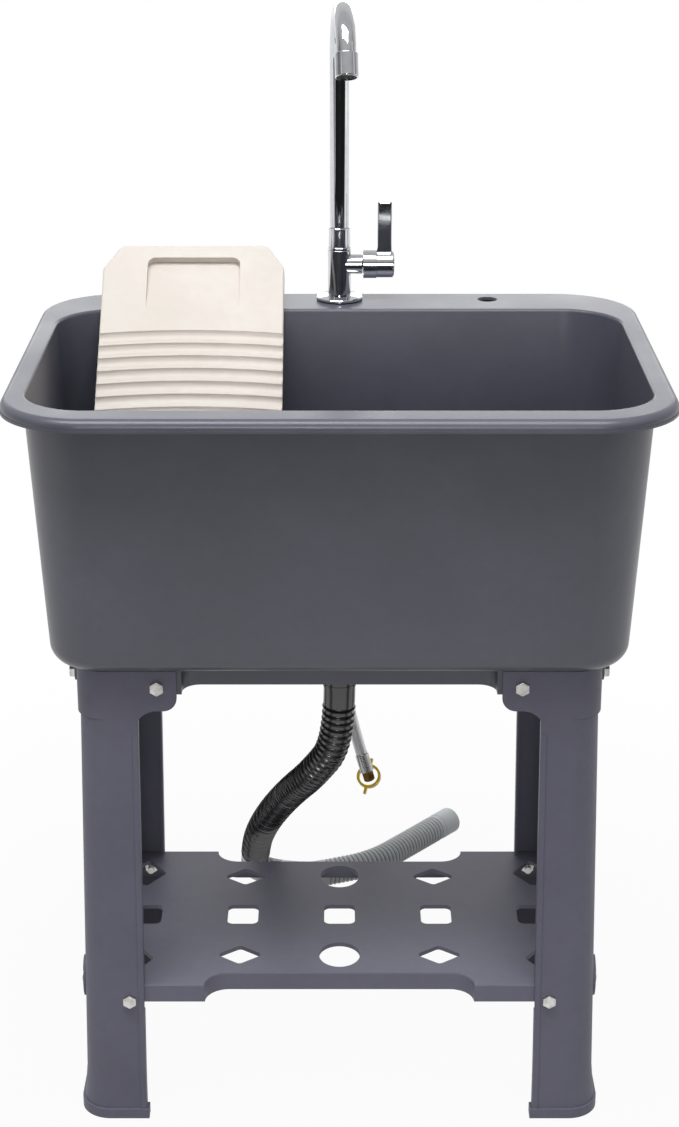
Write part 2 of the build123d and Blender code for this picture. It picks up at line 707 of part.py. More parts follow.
# ---------------------------------------------------------------- drain
drain_at = (0, body_y)
flange_bottom = floor_top + drain_seal_height
flange_top = flange_bottom + drain_flange_height
with BuildPart() as drain_gasket:
    with BuildSketch(Plane((*drain_at, floor_top))):
        Circle(drain_flange_radius - 1.0)
        Circle(drain_neck_radius + fit_gap, mode=Mode.SUBTRACT)
    extrude(amount=drain_seal_height)
drain_gasket.part.label = "drain_gasket"
export_step(drain_gasket.part, "parts/drain_gasket.step")

with BuildPart() as drain_body:
    with Locations((*drain_at, flange_bottom)):
        Cylinder(drain_flange_radius, drain_flange_height, align=(Align.CENTER, Align.CENTER, Align.MIN))
    fillet(drain_body.faces().sort_by(Axis.Z)[-1].edges(), drain_flange_height / 2)
    neck_length = flange_bottom - drain_neck_bottom
    with Locations((*drain_at, drain_neck_bottom)):
        Cylinder(drain_neck_radius, neck_length, align=(Align.CENTER, Align.CENTER, Align.MIN))
    chamfer(drain_body.faces().sort_by(Axis.Z)[0].edges(), drain_wall)
    with Locations((*drain_at, drain_tail_bottom)):
        Cylinder(drain_tail_radius, drain_neck_bottom - drain_tail_bottom,
                 align=(Align.CENTER, Align.CENTER, Align.MIN))
    with Locations((*drain_at, drain_neck_bottom + drain_wall)):
        Cylinder(drain_neck_radius - drain_wall, flange_top - drain_neck_bottom,
                 align=(Align.CENTER, Align.CENTER, Align.MIN), mode=Mode.SUBTRACT)
    with Locations((*drain_at, drain_tail_bottom)):
        Cylinder(drain_tail_radius - drain_tail_wall, flange_top - drain_tail_bottom,
                 align=(Align.CENTER, Align.CENTER, Align.MIN), mode=Mode.SUBTRACT)
drain_body.part.label = "drain_body"
export_step(drain_body.part, "parts/drain_body.step")

with BuildPart() as drain_washer:
    with BuildSketch(Plane((*drain_at, tub_base - drain_washer_height))):
        Circle(drain_nut_radius + 1.0)
        Circle(drain_neck_radius + fit_gap, mode=Mode.SUBTRACT)
    extrude(amount=drain_washer_height)
drain_washer.part.label = "drain_washer"
export_step(drain_washer.part, "parts/drain_washer.step")

drain_nut_bottom = tub_base - drain_washer_height - drain_nut_height
with BuildPart() as drain_nut:
    with BuildSketch(Plane((*drain_at, drain_nut_bottom))):
        Circle(drain_nut_radius - 2.0)
        with PolarLocations(drain_nut_radius - 2.0, 8):
            Rectangle(4.0, 9.0)
        Circle(drain_neck_radius + running_gap, mode=Mode.SUBTRACT)
    extrude(amount=drain_nut_height)
drain_nut.part.label = "drain_nut"
export_step(drain_nut.part, "parts/drain_nut.step")

# lift-out basket, hanging by its rim on the flange
with BuildPart() as strainer_basket:
    rim_radius = basket_radius + basket_rim
    with BuildSketch(Plane((0, body_y, 0), x_dir=(1, 0, 0), z_dir=(0, -1, 0))):
        with BuildLine():
            seat = flange_top + basket_gap
            low = seat - basket_depth
            Polyline((0, low), (basket_radius - 2.5, low), (basket_radius, low + 2.5), (basket_radius, seat),
                     (rim_radius, seat), (rim_radius, seat + basket_wall),
                     (basket_radius - basket_wall, seat + basket_wall), (basket_radius - basket_wall, low + 3.0),
                     (basket_radius - 3.2, low + basket_wall), (0, low + basket_wall), close=True)
        make_face()
    revolve(axis=Axis((0, body_y, 0), (0, 0, 1)))
    with BuildSketch(Plane((*drain_at, seat - basket_depth))):
        with PolarLocations(13.5, 12):
            Circle(basket_hole)
        with PolarLocations(7.0, 6):
            Circle(basket_hole)
    extrude(amount=basket_wall * 2, mode=Mode.SUBTRACT)
    for turn in range(8):
        side_hole = Plane((0, body_y, seat - basket_depth / 2), x_dir=(0, 0, 1),
                          z_dir=(cos(turn * pi / 4), sin(turn * pi / 4), 0))
        with BuildSketch(side_hole):
            SlotOverall(11.0, 2 * basket_hole)
        extrude(amount=basket_radius * 1.1, mode=Mode.SUBTRACT)
strainer_basket.part.label = "strainer_basket"
export_step(strainer_basket.part, "parts/strainer_basket.step")

with BuildPart() as strainer_knob:
    with Locations((*drain_at, seat - basket_depth + basket_wall)):
        Cylinder(knob_radius * 0.6, knob_height, align=(Align.CENTER, Align.CENTER, Align.MIN))
    with Locations((*drain_at, seat - basket_depth + basket_wall + knob_height - knob_radius * 0.8)):
        Cylinder(knob_radius, knob_radius * 0.8, align=(Align.CENTER, Align.CENTER, Align.MIN))
    fillet(strainer_knob.faces().sort_by(Axis.Z)[-1].edges(), 1.2)
strainer_knob.part.label = "strainer_knob"
export_step(strainer_knob.part, "parts/strainer_knob.step")

# ---------------------------------------------------------------- tap
tap_at = (0, tap_y)
gasket_top = rim_height + tap_gasket_height
flange_high = gasket_top + tap_flange_height
valve_z = flange_high + valve_height
body_top = flange_high + tap_body_height
shank_bottom = rim_height - tap_shank_length

with BuildPart() as tap_gasket:
    with BuildSketch(Plane((*tap_at, rim_height))):
        Circle(tap_flange_radius - 0.6)
        Circle(tap_shank_radius + fit_gap, mode=Mode.SUBTRACT)
    extrude(amount=tap_gasket_height)
tap_gasket.part.label = "tap_gasket"
export_step(tap_gasket.part, "parts/tap_gasket.step")

with BuildPart() as tap_flange:
    with BuildSketch(Plane((0, tap_y, 0), x_dir=(1, 0, 0), z_dir=(0, -1, 0))):
        Polygon((tap_shank_radius + fit_gap, gasket_top), (tap_flange_radius, gasket_top),
                (tap_flange_radius, gasket_top + tap_flange_height / 2),
                (tap_flange_radius - 0.8, gasket_top + tap_flange_height * 0.7),
                (tap_body_radius, flange_high), (tap_shank_radius + fit_gap, flange_high), align=None)
    revolve(axis=Axis((0, tap_y, 0), (0, 0, 1)))
tap_flange.part.label = "tap_flange"
export_step(tap_flange.part, "parts/tap_flange.step")

valve_plane = Plane((0, tap_y, valve_z), z_dir=(1, 0, 0))
with BuildPart() as tap_body:
    with Locations((*tap_at, flange_high)):
        Cylinder(tap_body_radius, tap_body_height, align=(Align.CENTER, Align.CENTER, Align.MIN))
    fillet(tap_body.faces().sort_by(Axis.Z)[-1].edges(), 1.0)
    with Locations(valve_plane):
        Cylinder(stub_radius, stub_reach, align=(Align.CENTER, Align.CENTER, Align.MIN))
    fillet(tap_body.faces().sort_by(Axis.X)[-1].edges(), 1.0)
    with Locations((*tap_at, shank_bottom)):
        Cylinder(tap_shank_radius, flange_high - shank_bottom, align=(Align.CENTER, Align.CENTER, Align.MIN))
    chamfer(tap_body.faces().sort_by(Axis.Z)[0].edges(), 1.0)
    with Locations((*tap_at, shank_bottom)):
        Cylinder(waterway_radius, body_top - shank_bottom, align=(Align.CENTER, Align.CENTER, Align.MIN),
                 mode=Mode.SUBTRACT)
    with Locations(valve_plane.offset(cartridge_seat)):
        Cylinder(cartridge_radius + running_gap, stub_reach, align=(Align.CENTER, Align.CENTER, Align.MIN),
                 mode=Mode.SUBTRACT)
tap_body.part.label = "tap_body"
export_step(tap_body.part, "parts/tap_body.step")

with BuildPart() as valve_cartridge:
    with Locations(valve_plane.offset(cartridge_seat)):
        Cylinder(cartridge_radius, stub_reach - cartridge_seat, align=(Align.CENTER, Align.CENTER, Align.MIN))
    with Locations(valve_plane.offset(cartridge_seat + 3.0)):
        Cylinder(spindle_radius + running_gap, stub_reach, align=(Align.CENTER, Align.CENTER, Align.MIN),
                 mode=Mode.SUBTRACT)
valve_cartridge.part.label = "valve_cartridge"
export_step(valve_cartridge.part, "parts/valve_cartridge.step")

hub_start = stub_reach + hub_gap
hub_end = hub_start + hub_length
spindle_end = hub_end - 13.0
with BuildPart() as valve_spindle:
    with Locations(valve_plane.offset(cartridge_seat + 3.0 + fit_gap)):
        Cylinder(spindle_radius, spindle_end - cartridge_seat - 3.0 - fit_gap,
                 align=(Align.CENTER, Align.CENTER, Align.MIN))
    with Locations(valve_plane.offset(spindle_end - 7.0)):
        Cylinder(2.0 + running_gap, 7.0, align=(Align.CENTER, Align.CENTER, Align.MIN), mode=Mode.SUBTRACT)
valve_spindle.part.label = "valve_spindle"
export_step(valve_spindle.part, "parts/valve_spindle.step")

web_start = spindle_end + running_gap
web_end = web_start + 5.0
with BuildPart() as lever_handle:
    with Locations(valve_plane.offset(hub_start)):
        Cylinder(hub_radius, hub_length, align=(Align.CENTER, Align.CENTER, Align.MIN))
    chamfer(lever_handle.faces().sort_by(Axis.X)[-1].edges(), 1.4)
    with Locations(valve_plane.offset(hub_start)):
        Cylinder(hub_ring_radius, hub_ring_length, align=(Align.CENTER, Align.CENTER, Align.MIN))
    fillet(lever_handle.edges().filter_by(GeomType.CIRCLE).filter_by(
        lambda e: abs(e.radius - hub_ring_radius) < 1e-6), 0.7)
    blade_x = hub_end - 2.2 - lever_width / 2
    with BuildSketch(Plane.XZ.offset(-tap_y + lever_thickness / 2)) as blade:
        with BuildLine():
            Polyline((blade_x - lever_width / 2 - 2.0, valve_z + 10.0), (blade_x - lever_width / 2, valve_z + 18.0),
                     (blade_x - lever_width / 2, valve_z + lever_reach), (blade_x + lever_width / 2, valve_z + lever_reach),
                     (blade_x + lever_width / 2, valve_z + 10.0), close=True)
        make_face()
        fillet(blade.vertices().group_by(Axis.Y)[-1], 3.0)
    extrude(amount=-lever_thickness)
    tip_edges = lever_handle.edges().filter_by(lambda e: e.center().Z > valve_z + lever_reach - 0.01)
    fillet(tip_edges.filter_by(Axis.X), 2.0)
    with Locations(valve_plane.offset(hub_start)):
        Cylinder(spindle_radius + running_gap, web_start - hub_start,
                 align=(Align.CENTER, Align.CENTER, Align.MIN), mode=Mode.SUBTRACT)
    with Locations(valve_plane.offset(web_start)):
        Cylinder(2.0 + bolt_clearance, web_end - web_start + 1.0,
                 align=(Align.CENTER, Align.CENTER, Align.MIN), mode=Mode.SUBTRACT)
    with Locations(valve_plane.offset(web_end)):
        Cylinder(4.2, hub_end - web_end, align=(Align.CENTER, Align.CENTER, Align.MIN), mode=Mode.SUBTRACT)
    with Locations(valve_plane.offset(hub_end - cap_height)):
        Cylinder(cap_radius + running_gap, cap_height, align=(Align.CENTER, Align.CENTER, Align.MIN),
                 mode=Mode.SUBTRACT)
lever_handle.part.label = "lever_handle"
export_step(lever_handle.part, "parts/lever_handle.step")

with BuildPart() as lever_screw:
    with Locations(valve_plane.offset(web_end)):
        Cylinder(3.6, 2.6, align=(Align.CENTER, Align.CENTER, Align.MIN))
    with Locations(valve_plane.offset(spindle_end - 6.0)):
        Cylinder(2.0, web_end - spindle_end + 6.0, align=(Align.CENTER, Align.CENTER, Align.MIN))
    with BuildSketch(valve_plane.offset(web_end + 2.6)):
        Rectangle(4.4, 0.9)
        Rectangle(0.9, 4.4)
    extrude(amount=-1.4, mode=Mode.SUBTRACT)
lever_screw.part.label = "lever_screw"
export_step(lever_screw.part, "parts/lever_screw.step")

with BuildPart() as lever_cap:
    with Locations(valve_plane.offset(hub_end - cap_height)):
        Cylinder(cap_radius, cap_height + 0.4, align=(Align.CENTER, Align.CENTER, Align.MIN))
    fillet(lever_cap.faces().sort_by(Axis.X)[-1].edges(), 0.5)
lever_cap.part.label = "lever_cap"
export_step(lever_cap.part, "parts/lever_cap.step")

# swan-neck spout, turned a little to the right
spout_foot = body_top + 1.2
spout_centre_z = spout_top - spout_bend - spout_radius
turn = radians(spout_turn)
spout_plane = Plane((0, tap_y, 0), x_dir=(sin(turn), -cos(turn), 0), z_dir=(-cos(turn), -sin(turn), 0))
with BuildLine(spout_plane, mode=Mode.PRIVATE) as neck:
    Line((0, spout_foot), (0, spout_centre_z))
    neck_arc = CenterArc((spout_bend, spout_centre_z), spout_bend, 180, -spout_sweep)
    PolarLine(neck_arc @ 1, spout_tail, direction=neck_arc % 1)
neck_tip = neck.line @ 1
neck_way = neck.line % 1
with BuildPart() as spout_tube:
    with BuildLine(spout_plane):
        Line((0, spout_foot), (0, spout_centre_z))
        tube_arc = CenterArc((spout_bend, spout_centre_z), spout_bend, 180, -spout_sweep)
        PolarLine(tube_arc @ 1, spout_tail, direction=tube_arc % 1)
    with BuildSketch(Plane((0, tap_y, spout_foot))):
        Circle(spout_radius)
        Circle(spout_radius - spout_wall, mode=Mode.SUBTRACT)
    sweep()
spout_tube.part.label = "spout_tube"
export_step(spout_tube.part, "parts/spout_tube.step")

with BuildPart() as spout_seal:
    with BuildSketch(Plane((*tap_at, body_top))):
        Circle(spout_radius)
        Circle(waterway_radius + 0.8, mode=Mode.SUBTRACT)
    extrude(amount=spout_foot - fit_gap - body_top)
spout_seal.part.label = "spout_seal"
export_step(spout_seal.part, "parts/spout_seal.step")

with BuildPart() as spout_bush:
    with BuildSketch(Plane((*tap_at, spout_foot))):
        Circle(bush_radius)
        Circle(spout_radius, mode=Mode.SUBTRACT)
    extrude(amount=bush_height)
spout_bush.part.label = "spout_bush"
export_step(spout_bush.part, "parts/spout_bush.step")

with BuildPart() as spout_nut:
    with BuildSketch(Plane((0, tap_y, 0), x_dir=(1, 0, 0), z_dir=(0, -1, 0))):
        with BuildLine():
            bottom = body_top
            top = body_top + spout_nut_height
            bore = spout_radius + running_gap
            wide = bush_radius + running_gap
            step_z = spout_foot + bush_height + fit_gap
            Polyline((wide, bottom), (spout_nut_radius + 0.3, bottom), (spout_nut_radius + 0.3, bottom + 2.4),
                     (spout_nut_radius - 0.2, bottom + 3.0), (spout_nut_radius - 0.6, top - 3.0),
                     (spout_nut_radius, top - 2.6), (spout_nut_radius, top - 0.8),
                     (spout_nut_radius - 0.8, top), (bore, top), (bore, step_z), (wide, step_z), close=True)
        make_face()
    revolve(axis=Axis((0, tap_y, 0), (0, 0, 1)))
spout_nut.part.label = "spout_nut"
export_step(spout_nut.part, "parts/spout_nut.step")

aerator_plane = Plane(neck_tip - neck_way * aerator_lap, x_dir=(cos(turn), sin(turn), 0), z_dir=neck_way)
with BuildPart() as aerator_housing:
    with Locations(aerator_plane):
        Cylinder(aerator_radius, aerator_length, align=(Align.CENTER, Align.CENTER, Align.MIN))
    fillet(aerator_housing.edges(), 1.2)
    with Locations(aerator_plane):
        Cylinder(spout_radius + aerator_gap, aerator_lap, align=(Align.CENTER, Align.CENTER, Align.MIN),
                 mode=Mode.SUBTRACT)
    with Locations(aerator_plane.offset(aerator_lap)):
        Cylinder(spout_radius - spout_wall, aerator_length, align=(Align.CENTER, Align.CENTER, Align.MIN),
                 mode=Mode.SUBTRACT)
    with Locations(aerator_plane.offset(aerator_length - aerator_insert_height - 1.0)):
        Cylinder(aerator_insert_radius + running_gap, aerator_length,
                 align=(Align.CENTER, Align.CENTER, Align.MIN), mode=Mode.SUBTRACT)
aerator_housing.part.label = "aerator_housing"
export_step(aerator_housing.part, "parts/aerator_housing.step")

with BuildPart() as aerator_insert:
    insert_face = aerator_plane.offset(aerator_length - 1.0)
    with BuildSketch(insert_face):
        Circle(aerator_insert_radius)
        with PolarLocations(6.6, 12):
            Circle(1.1, mode=Mode.SUBTRACT)
        with PolarLocations(3.4, 6):
            Circle(1.1, mode=Mode.SUBTRACT)
    extrude(amount=-aerator_insert_height)
aerator_insert.part.label = "aerator_insert"
export_step(aerator_insert.part, "parts/aerator_insert.step")

# under the deck
deck_underside = rim_height - rim_wall
with BuildPart() as tap_washer:
    with BuildSketch(Plane((*tap_at, deck_underside - tap_washer_height))):
        Circle(tap_washer_radius)
        Circle(tap_shank_radius + fit_gap, mode=Mode.SUBTRACT)
    extrude(amount=tap_washer_height)
tap_washer.part.label = "tap_washer"
export_step(tap_washer.part, "parts/tap_washer.step")

lock_bottom = deck_underside - tap_washer_height - tap_nut_height
with BuildPart() as tap_locknut:
    with BuildSketch(Plane((*tap_at, lock_bottom))):
        RegularPolygon(tap_nut_flats / 2, 6, major_radius=False)
        Circle(tap_shank_radius + running_gap, mode=Mode.SUBTRACT)
    extrude(amount=tap_nut_height)
tap_locknut.part.label = "tap_locknut"
export_step(tap_locknut.part, "parts/tap_locknut.step")

union_bottom = shank_bottom + union_lap - union_nut_height
hose_head = supply_route[0][2]
with BuildPart() as supply_union_nut:
    with BuildSketch(Plane((*tap_at, union_bottom))):
        RegularPolygon(union_nut_flats / 2, 6, major_radius=False)
        Circle(tap_shank_radius + running_gap, mode=Mode.SUBTRACT)
    extrude(amount=union_nut_height)
supply_union_nut.part.label = "supply_union_nut"
export_step(supply_union_nut.part, "parts/supply_union_nut.step")

with BuildPart() as supply_ferrule_top:
    with BuildSketch(Plane((*tap_at, hose_head))):
        Circle(crimp_radius)
    extrude(amount=union_bottom - hose_head)
    with BuildSketch(Plane((*tap_at, union_bottom))):
        Circle(tap_shank_radius)
    extrude(amount=shank_bottom - fit_gap - union_bottom)
    with Locations((*tap_at, hose_head)):
        Cylinder(supply_bore, shank_bottom - hose_head, align=(Align.CENTER, Align.CENTER, Align.MIN),
                 mode=Mode.SUBTRACT)
supply_ferrule_top.part.label = "supply_ferrule_top"
export_step(supply_ferrule_top.part, "parts/supply_ferrule_top.step")


# ---------------------------------------------------------------- hoses
def corner_radii(points):
    """Bend radius at each inner point, from the shorter run and the turn there."""
    radii = []
    for before, here, after in zip(points, points[1:], points[2:]):
        run_in = Vector(*here) - Vector(*before)
        run_out = Vector(*after) - Vector(*here)
        half_turn = radians(run_in.get_angle(run_out)) / 2
        radii.append(0.45 * min(run_in.length, run_out.length) / tan(half_turn))
    return radii


def along(start, towards, distance):
    """Point at a distance from one point towards another."""
    way = (Vector(*towards) - Vector(*start)).normalized()
    return tuple(Vector(*start) + way * distance)


def printed_radii(name, radii):
    """Name and bend radii in one line of the build's output."""
    print(name, "radii", [round(r, 1) for r in radii])
    return radii


supply_radii = printed_radii("supply_hose", corner_radii(supply_route))
with BuildPart() as supply_hose:
    with BuildLine():
        FilletPolyline(*supply_route, radius=supply_radii)
    with BuildSketch(Plane(supply_route[0], z_dir=(0, 0, -1))):
        Circle(supply_radius)
        Circle(supply_bore, mode=Mode.SUBTRACT)
    sweep()
supply_hose.part.label = "supply_hose"
export_step(supply_hose.part, "parts/supply_hose.step")

supply_end = Vector(*supply_route[-1])
supply_way = (supply_end - Vector(*supply_route[-2])).normalized()
end_plane = Plane(supply_end, z_dir=supply_way)
with BuildPart() as supply_ferrule:
    with BuildSketch(end_plane):
        Circle(crimp_radius)
        Circle(supply_bore, mode=Mode.SUBTRACT)
    extrude(amount=crimp_length)
supply_ferrule.part.label = "supply_ferrule"
export_step(supply_ferrule.part, "parts/supply_ferrule.step")

with BuildPart() as supply_nipple:
    with BuildSketch(end_plane.offset(crimp_length)):
        Circle(nipple_radius)
        Circle(supply_bore, mode=Mode.SUBTRACT)
    extrude(amount=nipple_length)
    chamfer(supply_nipple.faces().sort_by(Axis.Z)[0].outer_wire().edges(), 0.8)
supply_nipple.part.label = "supply_nipple"
export_step(supply_nipple.part, "parts/supply_nipple.step")

# spring clamp ring, hanging loose round the nipple
ring_up = Vector(0, 0, 0) - supply_way
ring_tilt = radians(clamp_tilt)
ring_axis = ring_up * cos(ring_tilt) + Vector(0, -1, 0) * sin(ring_tilt)
ring_centre = supply_end + supply_way * (crimp_length + nipple_length - clamp_hang) + Vector(0, clamp_back, 0)
ring_plane = Plane(ring_centre, x_dir=(1, 0, -ring_axis.X / ring_axis.Z), z_dir=ring_axis)
with BuildPart() as hose_clamp:
    with BuildSketch(ring_plane.offset(-clamp_band / 2)):
        Circle(clamp_ring_radius)
        Circle(clamp_ring_radius - clamp_thickness, mode=Mode.SUBTRACT)
    extrude(amount=clamp_band)
    for ear_turn in (68.0, 244.0):
        with BuildSketch(ring_plane.offset(-clamp_ear_width / 2)):
            with PolarLocations(clamp_ring_radius - clamp_thickness / 2, 1, start_angle=ear_turn):
                Rectangle(clamp_ear_length, clamp_thickness, align=(Align.MIN, Align.CENTER))
        extrude(amount=clamp_ear_width)
hose_clamp.part.label = "hose_clamp"
export_step(hose_clamp.part, "parts/hose_clamp.step")

# smooth cuff over the drain's tail
hose_start = drain_route[0][2]
with BuildPart() as hose_cuff:
    with BuildSketch(Plane((*drain_at, hose_start))):
        Circle(cuff_radius)
        Circle(hose_bore, mode=Mode.SUBTRACT)
    extrude(amount=drain_tail_bottom - hose_start)
    with BuildSketch(Plane((*drain_at, drain_tail_bottom))):
        Circle(cuff_radius)
        Circle(drain_tail_radius + running_gap, mode=Mode.SUBTRACT)
    extrude(amount=cuff_top - drain_tail_bottom)
    for band_z in (hose_start, cuff_top - 5.0):
        with BuildSketch(Plane((*drain_at, band_z))):
            Circle(cuff_radius + 0.6)
            Circle(cuff_radius - 0.5, mode=Mode.SUBTRACT)
        extrude(amount=3.0)
hose_cuff.part.label = "hose_cuff"
export_step(hose_cuff.part, "parts/hose_cuff.step")


def rib_marks(length, neck, neck_radius, root, crest, pitch, flank, top):
    """Distances along a hose and radii there: a neck at each end and four circles a rib."""
    count = int((length - 2 * neck) / pitch)
    start = (length - count * pitch) / 2
    marks = [(0, neck_radius), (start - 1.0, neck_radius), (start - 0.5, root)]
    for index in range(count):
        foot = start + index * pitch
        marks += [(foot, root), (foot + flank, crest), (foot + flank + top, crest), (foot + 2 * flank + top, root)]
    marks += [(length - start + 0.5, root), (length - start + 1.0, neck_radius), (length, neck_radius)]
    return marks


def hose_rings(way, marks, steady):
    """Circles square to the way, their X axes kept close to one steady direction."""
    rings = []
    for distance, radius in marks:
        spot = way.position_at(distance, position_mode=PositionMode.LENGTH)
        heading = way.tangent_at(distance, position_mode=PositionMode.LENGTH)
        across = steady - heading * steady.dot(heading)
        with BuildSketch(Plane(spot, x_dir=across, z_dir=heading)) as ring:
            Circle(radius)
        rings.append(ring.sketch)
    return rings


drain_radii = printed_radii("drain_hose", corner_radii(drain_route))
with BuildLine() as drain_way:
    FilletPolyline(*drain_route, radius=drain_radii)
drain_wire = drain_way.wire()
drain_marks = rib_marks(drain_wire.length, hose_neck_length, hose_neck, hose_root, hose_crest,
                        hose_rib_pitch, hose_rib_flank, hose_rib_crest)
drain_rings = hose_rings(drain_wire, drain_marks, Vector(1, 0, 0))
with BuildPart() as drain_hose:
    loft(drain_rings, ruled=True)
    with BuildLine():
        FilletPolyline(*drain_route, radius=drain_radii)
    with BuildSketch(Plane(drain_route[0], z_dir=(0, 0, -1))):
        Circle(hose_bore)
    sweep(mode=Mode.SUBTRACT)
drain_hose.part.label = "drain_hose"
export_step(drain_hose.part, "parts/drain_hose.step")

# each next hose starts in line with the run before it
elbow_corner = along(drain_route[-2], drain_route[-1], elbow_corner_reach)
elbow_end = along(elbow_corner, cuff_corner, elbow_outlet)
outlet_route = [along(cuff_corner, outlet_bends[0], outlet_cuff_outlet)] + outlet_bends
outlet_end_route = [outlet_bends[-1], along(outlet_bends[-1], outlet_bends[-2], -outlet_end_length)]

outlet_radii = printed_radii("outlet_hose", corner_radii(outlet_route))
with BuildLine() as outlet_way:
    FilletPolyline(*outlet_route, radius=outlet_radii)
outlet_wire = outlet_way.wire()
outlet_marks = rib_marks(outlet_wire.length, outlet_neck_length, outlet_neck, outlet_root, outlet_crest,
                         outlet_rib_pitch, outlet_rib_flank, outlet_rib_crest)
outlet_rings = hose_rings(outlet_wire, outlet_marks, Vector(0, 0, 1))
with BuildPart() as outlet_hose:
    loft(outlet_rings, ruled=True)
    with BuildLine():
        FilletPolyline(*outlet_route, radius=outlet_radii)
    with BuildSketch(Plane(outlet_wire @ 0, z_dir=outlet_wire % 0)):
        Circle(outlet_bore)
    sweep(mode=Mode.SUBTRACT)
outlet_hose.part.label = "outlet_hose"
export_step(outlet_hose.part, "parts/outlet_hose.step")

# plain lengths: the moulded elbow behind the shelf, the grey cuff after it and the grey end
elbow_route = [drain_route[-1], elbow_corner, elbow_end]
outlet_cuff_route = [elbow_end, cuff_corner, outlet_route[0]]
for name, route, bends, outside, bore in (
        ("hose_elbow", elbow_route, [elbow_bend], elbow_radius, hose_bore),
        ("outlet_cuff", outlet_cuff_route, corner_radii(outlet_cuff_route), outlet_crest, outlet_bore)):
    printed_radii(name, bends)
    with BuildLine() as plain_way:
        FilletPolyline(*route, radius=bends)
    with BuildPart() as plain_tube:
        with BuildLine():
            FilletPolyline(*route, radius=bends)
        with BuildSketch(Plane(plain_way.wire() @ 0, z_dir=plain_way.wire() % 0)):
            Circle(outside)
            Circle(bore, mode=Mode.SUBTRACT)
        sweep()
    plain_tube.part.label = name
    export_step(plain_tube.part, f"parts/{name}.step")

end_way = Vector(*outlet_end_route[1]) - Vector(*outlet_end_route[0])
with BuildPart() as outlet_end:
    with BuildSketch(Plane(outlet_end_route[0], z_dir=end_way)):
        Circle(outlet_crest)
        Circle(outlet_bore, mode=Mode.SUBTRACT)
    extrude(amount=end_way.length)
    fillet(outlet_end.faces().sort_by(Axis.Y)[-1].outer_wire().edges(), 0.8)
outlet_end.part.label = "outlet_end"
export_step(outlet_end.part, "parts/outlet_end.step")

# tube volumes against section times length
for name, tube, length, outer, bore in (
        ("supply_hose", supply_hose.part, None, supply_radius, supply_bore),
        ("drain_hose", drain_hose.part, drain_wire.length, hose_root, hose_bore),
        ("outlet_hose", outlet_hose.part, outlet_wire.length, outlet_root, outlet_bore)):
    if length is None:
        with BuildLine() as supply_way_line:
            FilletPolyline(*supply_route, radius=supply_radii)
        length = supply_way_line.wire().length
    plain_volume = pi * (outer ** 2 - bore ** 2) * length
    print(name, "length", round(length, 1), "volume", round(tube.volume), "plain tube", round(plain_volume))
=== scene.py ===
"""Utility laundry sink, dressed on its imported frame: metres, X to the right, Y to the back, Z up."""

import json
from math import pi, radians

import bpy
import numpy as np
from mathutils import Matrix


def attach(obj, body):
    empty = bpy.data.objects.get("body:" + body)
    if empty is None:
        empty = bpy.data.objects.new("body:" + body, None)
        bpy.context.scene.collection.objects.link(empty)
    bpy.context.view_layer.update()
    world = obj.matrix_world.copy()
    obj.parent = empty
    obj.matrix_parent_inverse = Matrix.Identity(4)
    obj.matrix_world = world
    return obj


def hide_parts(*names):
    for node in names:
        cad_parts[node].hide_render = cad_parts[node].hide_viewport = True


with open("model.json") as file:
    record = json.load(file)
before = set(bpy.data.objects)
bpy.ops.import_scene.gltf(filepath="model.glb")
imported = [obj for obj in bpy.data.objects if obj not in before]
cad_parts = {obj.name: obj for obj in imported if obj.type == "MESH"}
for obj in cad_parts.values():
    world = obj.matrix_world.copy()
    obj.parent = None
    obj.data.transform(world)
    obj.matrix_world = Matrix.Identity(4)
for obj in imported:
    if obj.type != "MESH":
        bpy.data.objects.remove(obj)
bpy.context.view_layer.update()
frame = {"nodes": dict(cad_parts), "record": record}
nodes = frame["nodes"]
MM = 0.001

# ---------------------------------------------------------------- camera
sensor_mm = 36.0
lens_mm = 73.3
camera_place = (0.0, -2.273, 1.413)
camera_tilt = radians(69.6)

camera_data = bpy.data.cameras.new("camera")
camera_data.sensor_width = sensor_mm
camera_data.lens = lens_mm
camera = bpy.data.objects.new("camera", camera_data)
camera.location = camera_place
camera.rotation_euler = (camera_tilt, 0.0, 0.0)
bpy.context.scene.collection.objects.link(camera)
bpy.context.scene.camera = camera
bpy.context.scene.view_settings.view_transform = "Standard"


# ---------------------------------------------------------------- node helper and colours
def colour(hex_text):
    """Linear RGBA of an sRGB hex colour."""
    srgb = np.array([int(hex_text[i:i + 2], 16) for i in (1, 3, 5)]) / 255.0
    linear = np.where(srgb <= 0.04045, srgb / 12.92, ((srgb + 0.055) / 1.055) ** 2.4)
    return (*[float(c) for c in linear], 1.0)


def add(tree, kind, settings=None, **links):
    """Adds a node, sets its attributes and unlinked sockets, and links sockets given by name, with _
    for a blank, or by place, as _0."""
    made = tree.nodes.new(kind)
    for key, value in (settings or {}).items():
        if isinstance(key, str) and hasattr(made, key) and key not in made.inputs:
            setattr(made, key, value)
        else:
            made.inputs[key].default_value = value
    for key, source in links.items():
        place = int(key[1:]) if key[0] == "_" and key[1:].isdigit() else key.replace("_", " ")
        tree.links.new(source, made.inputs[place])
    return made


def ramp(tree, source, stops):
    """A colour ramp over a value, from (place, grey or hex colour) stops."""
    made = add(tree, "ShaderNodeValToRGB", None, Fac=source)
    elements = made.color_ramp.elements
    while len(elements) < len(stops):
        elements.new(0.5)
    for element, (place, tone) in zip(elements, stops):
        element.position = place
        element.color = colour(tone) if isinstance(tone, str) else (tone, tone, tone, 1.0)
    return made


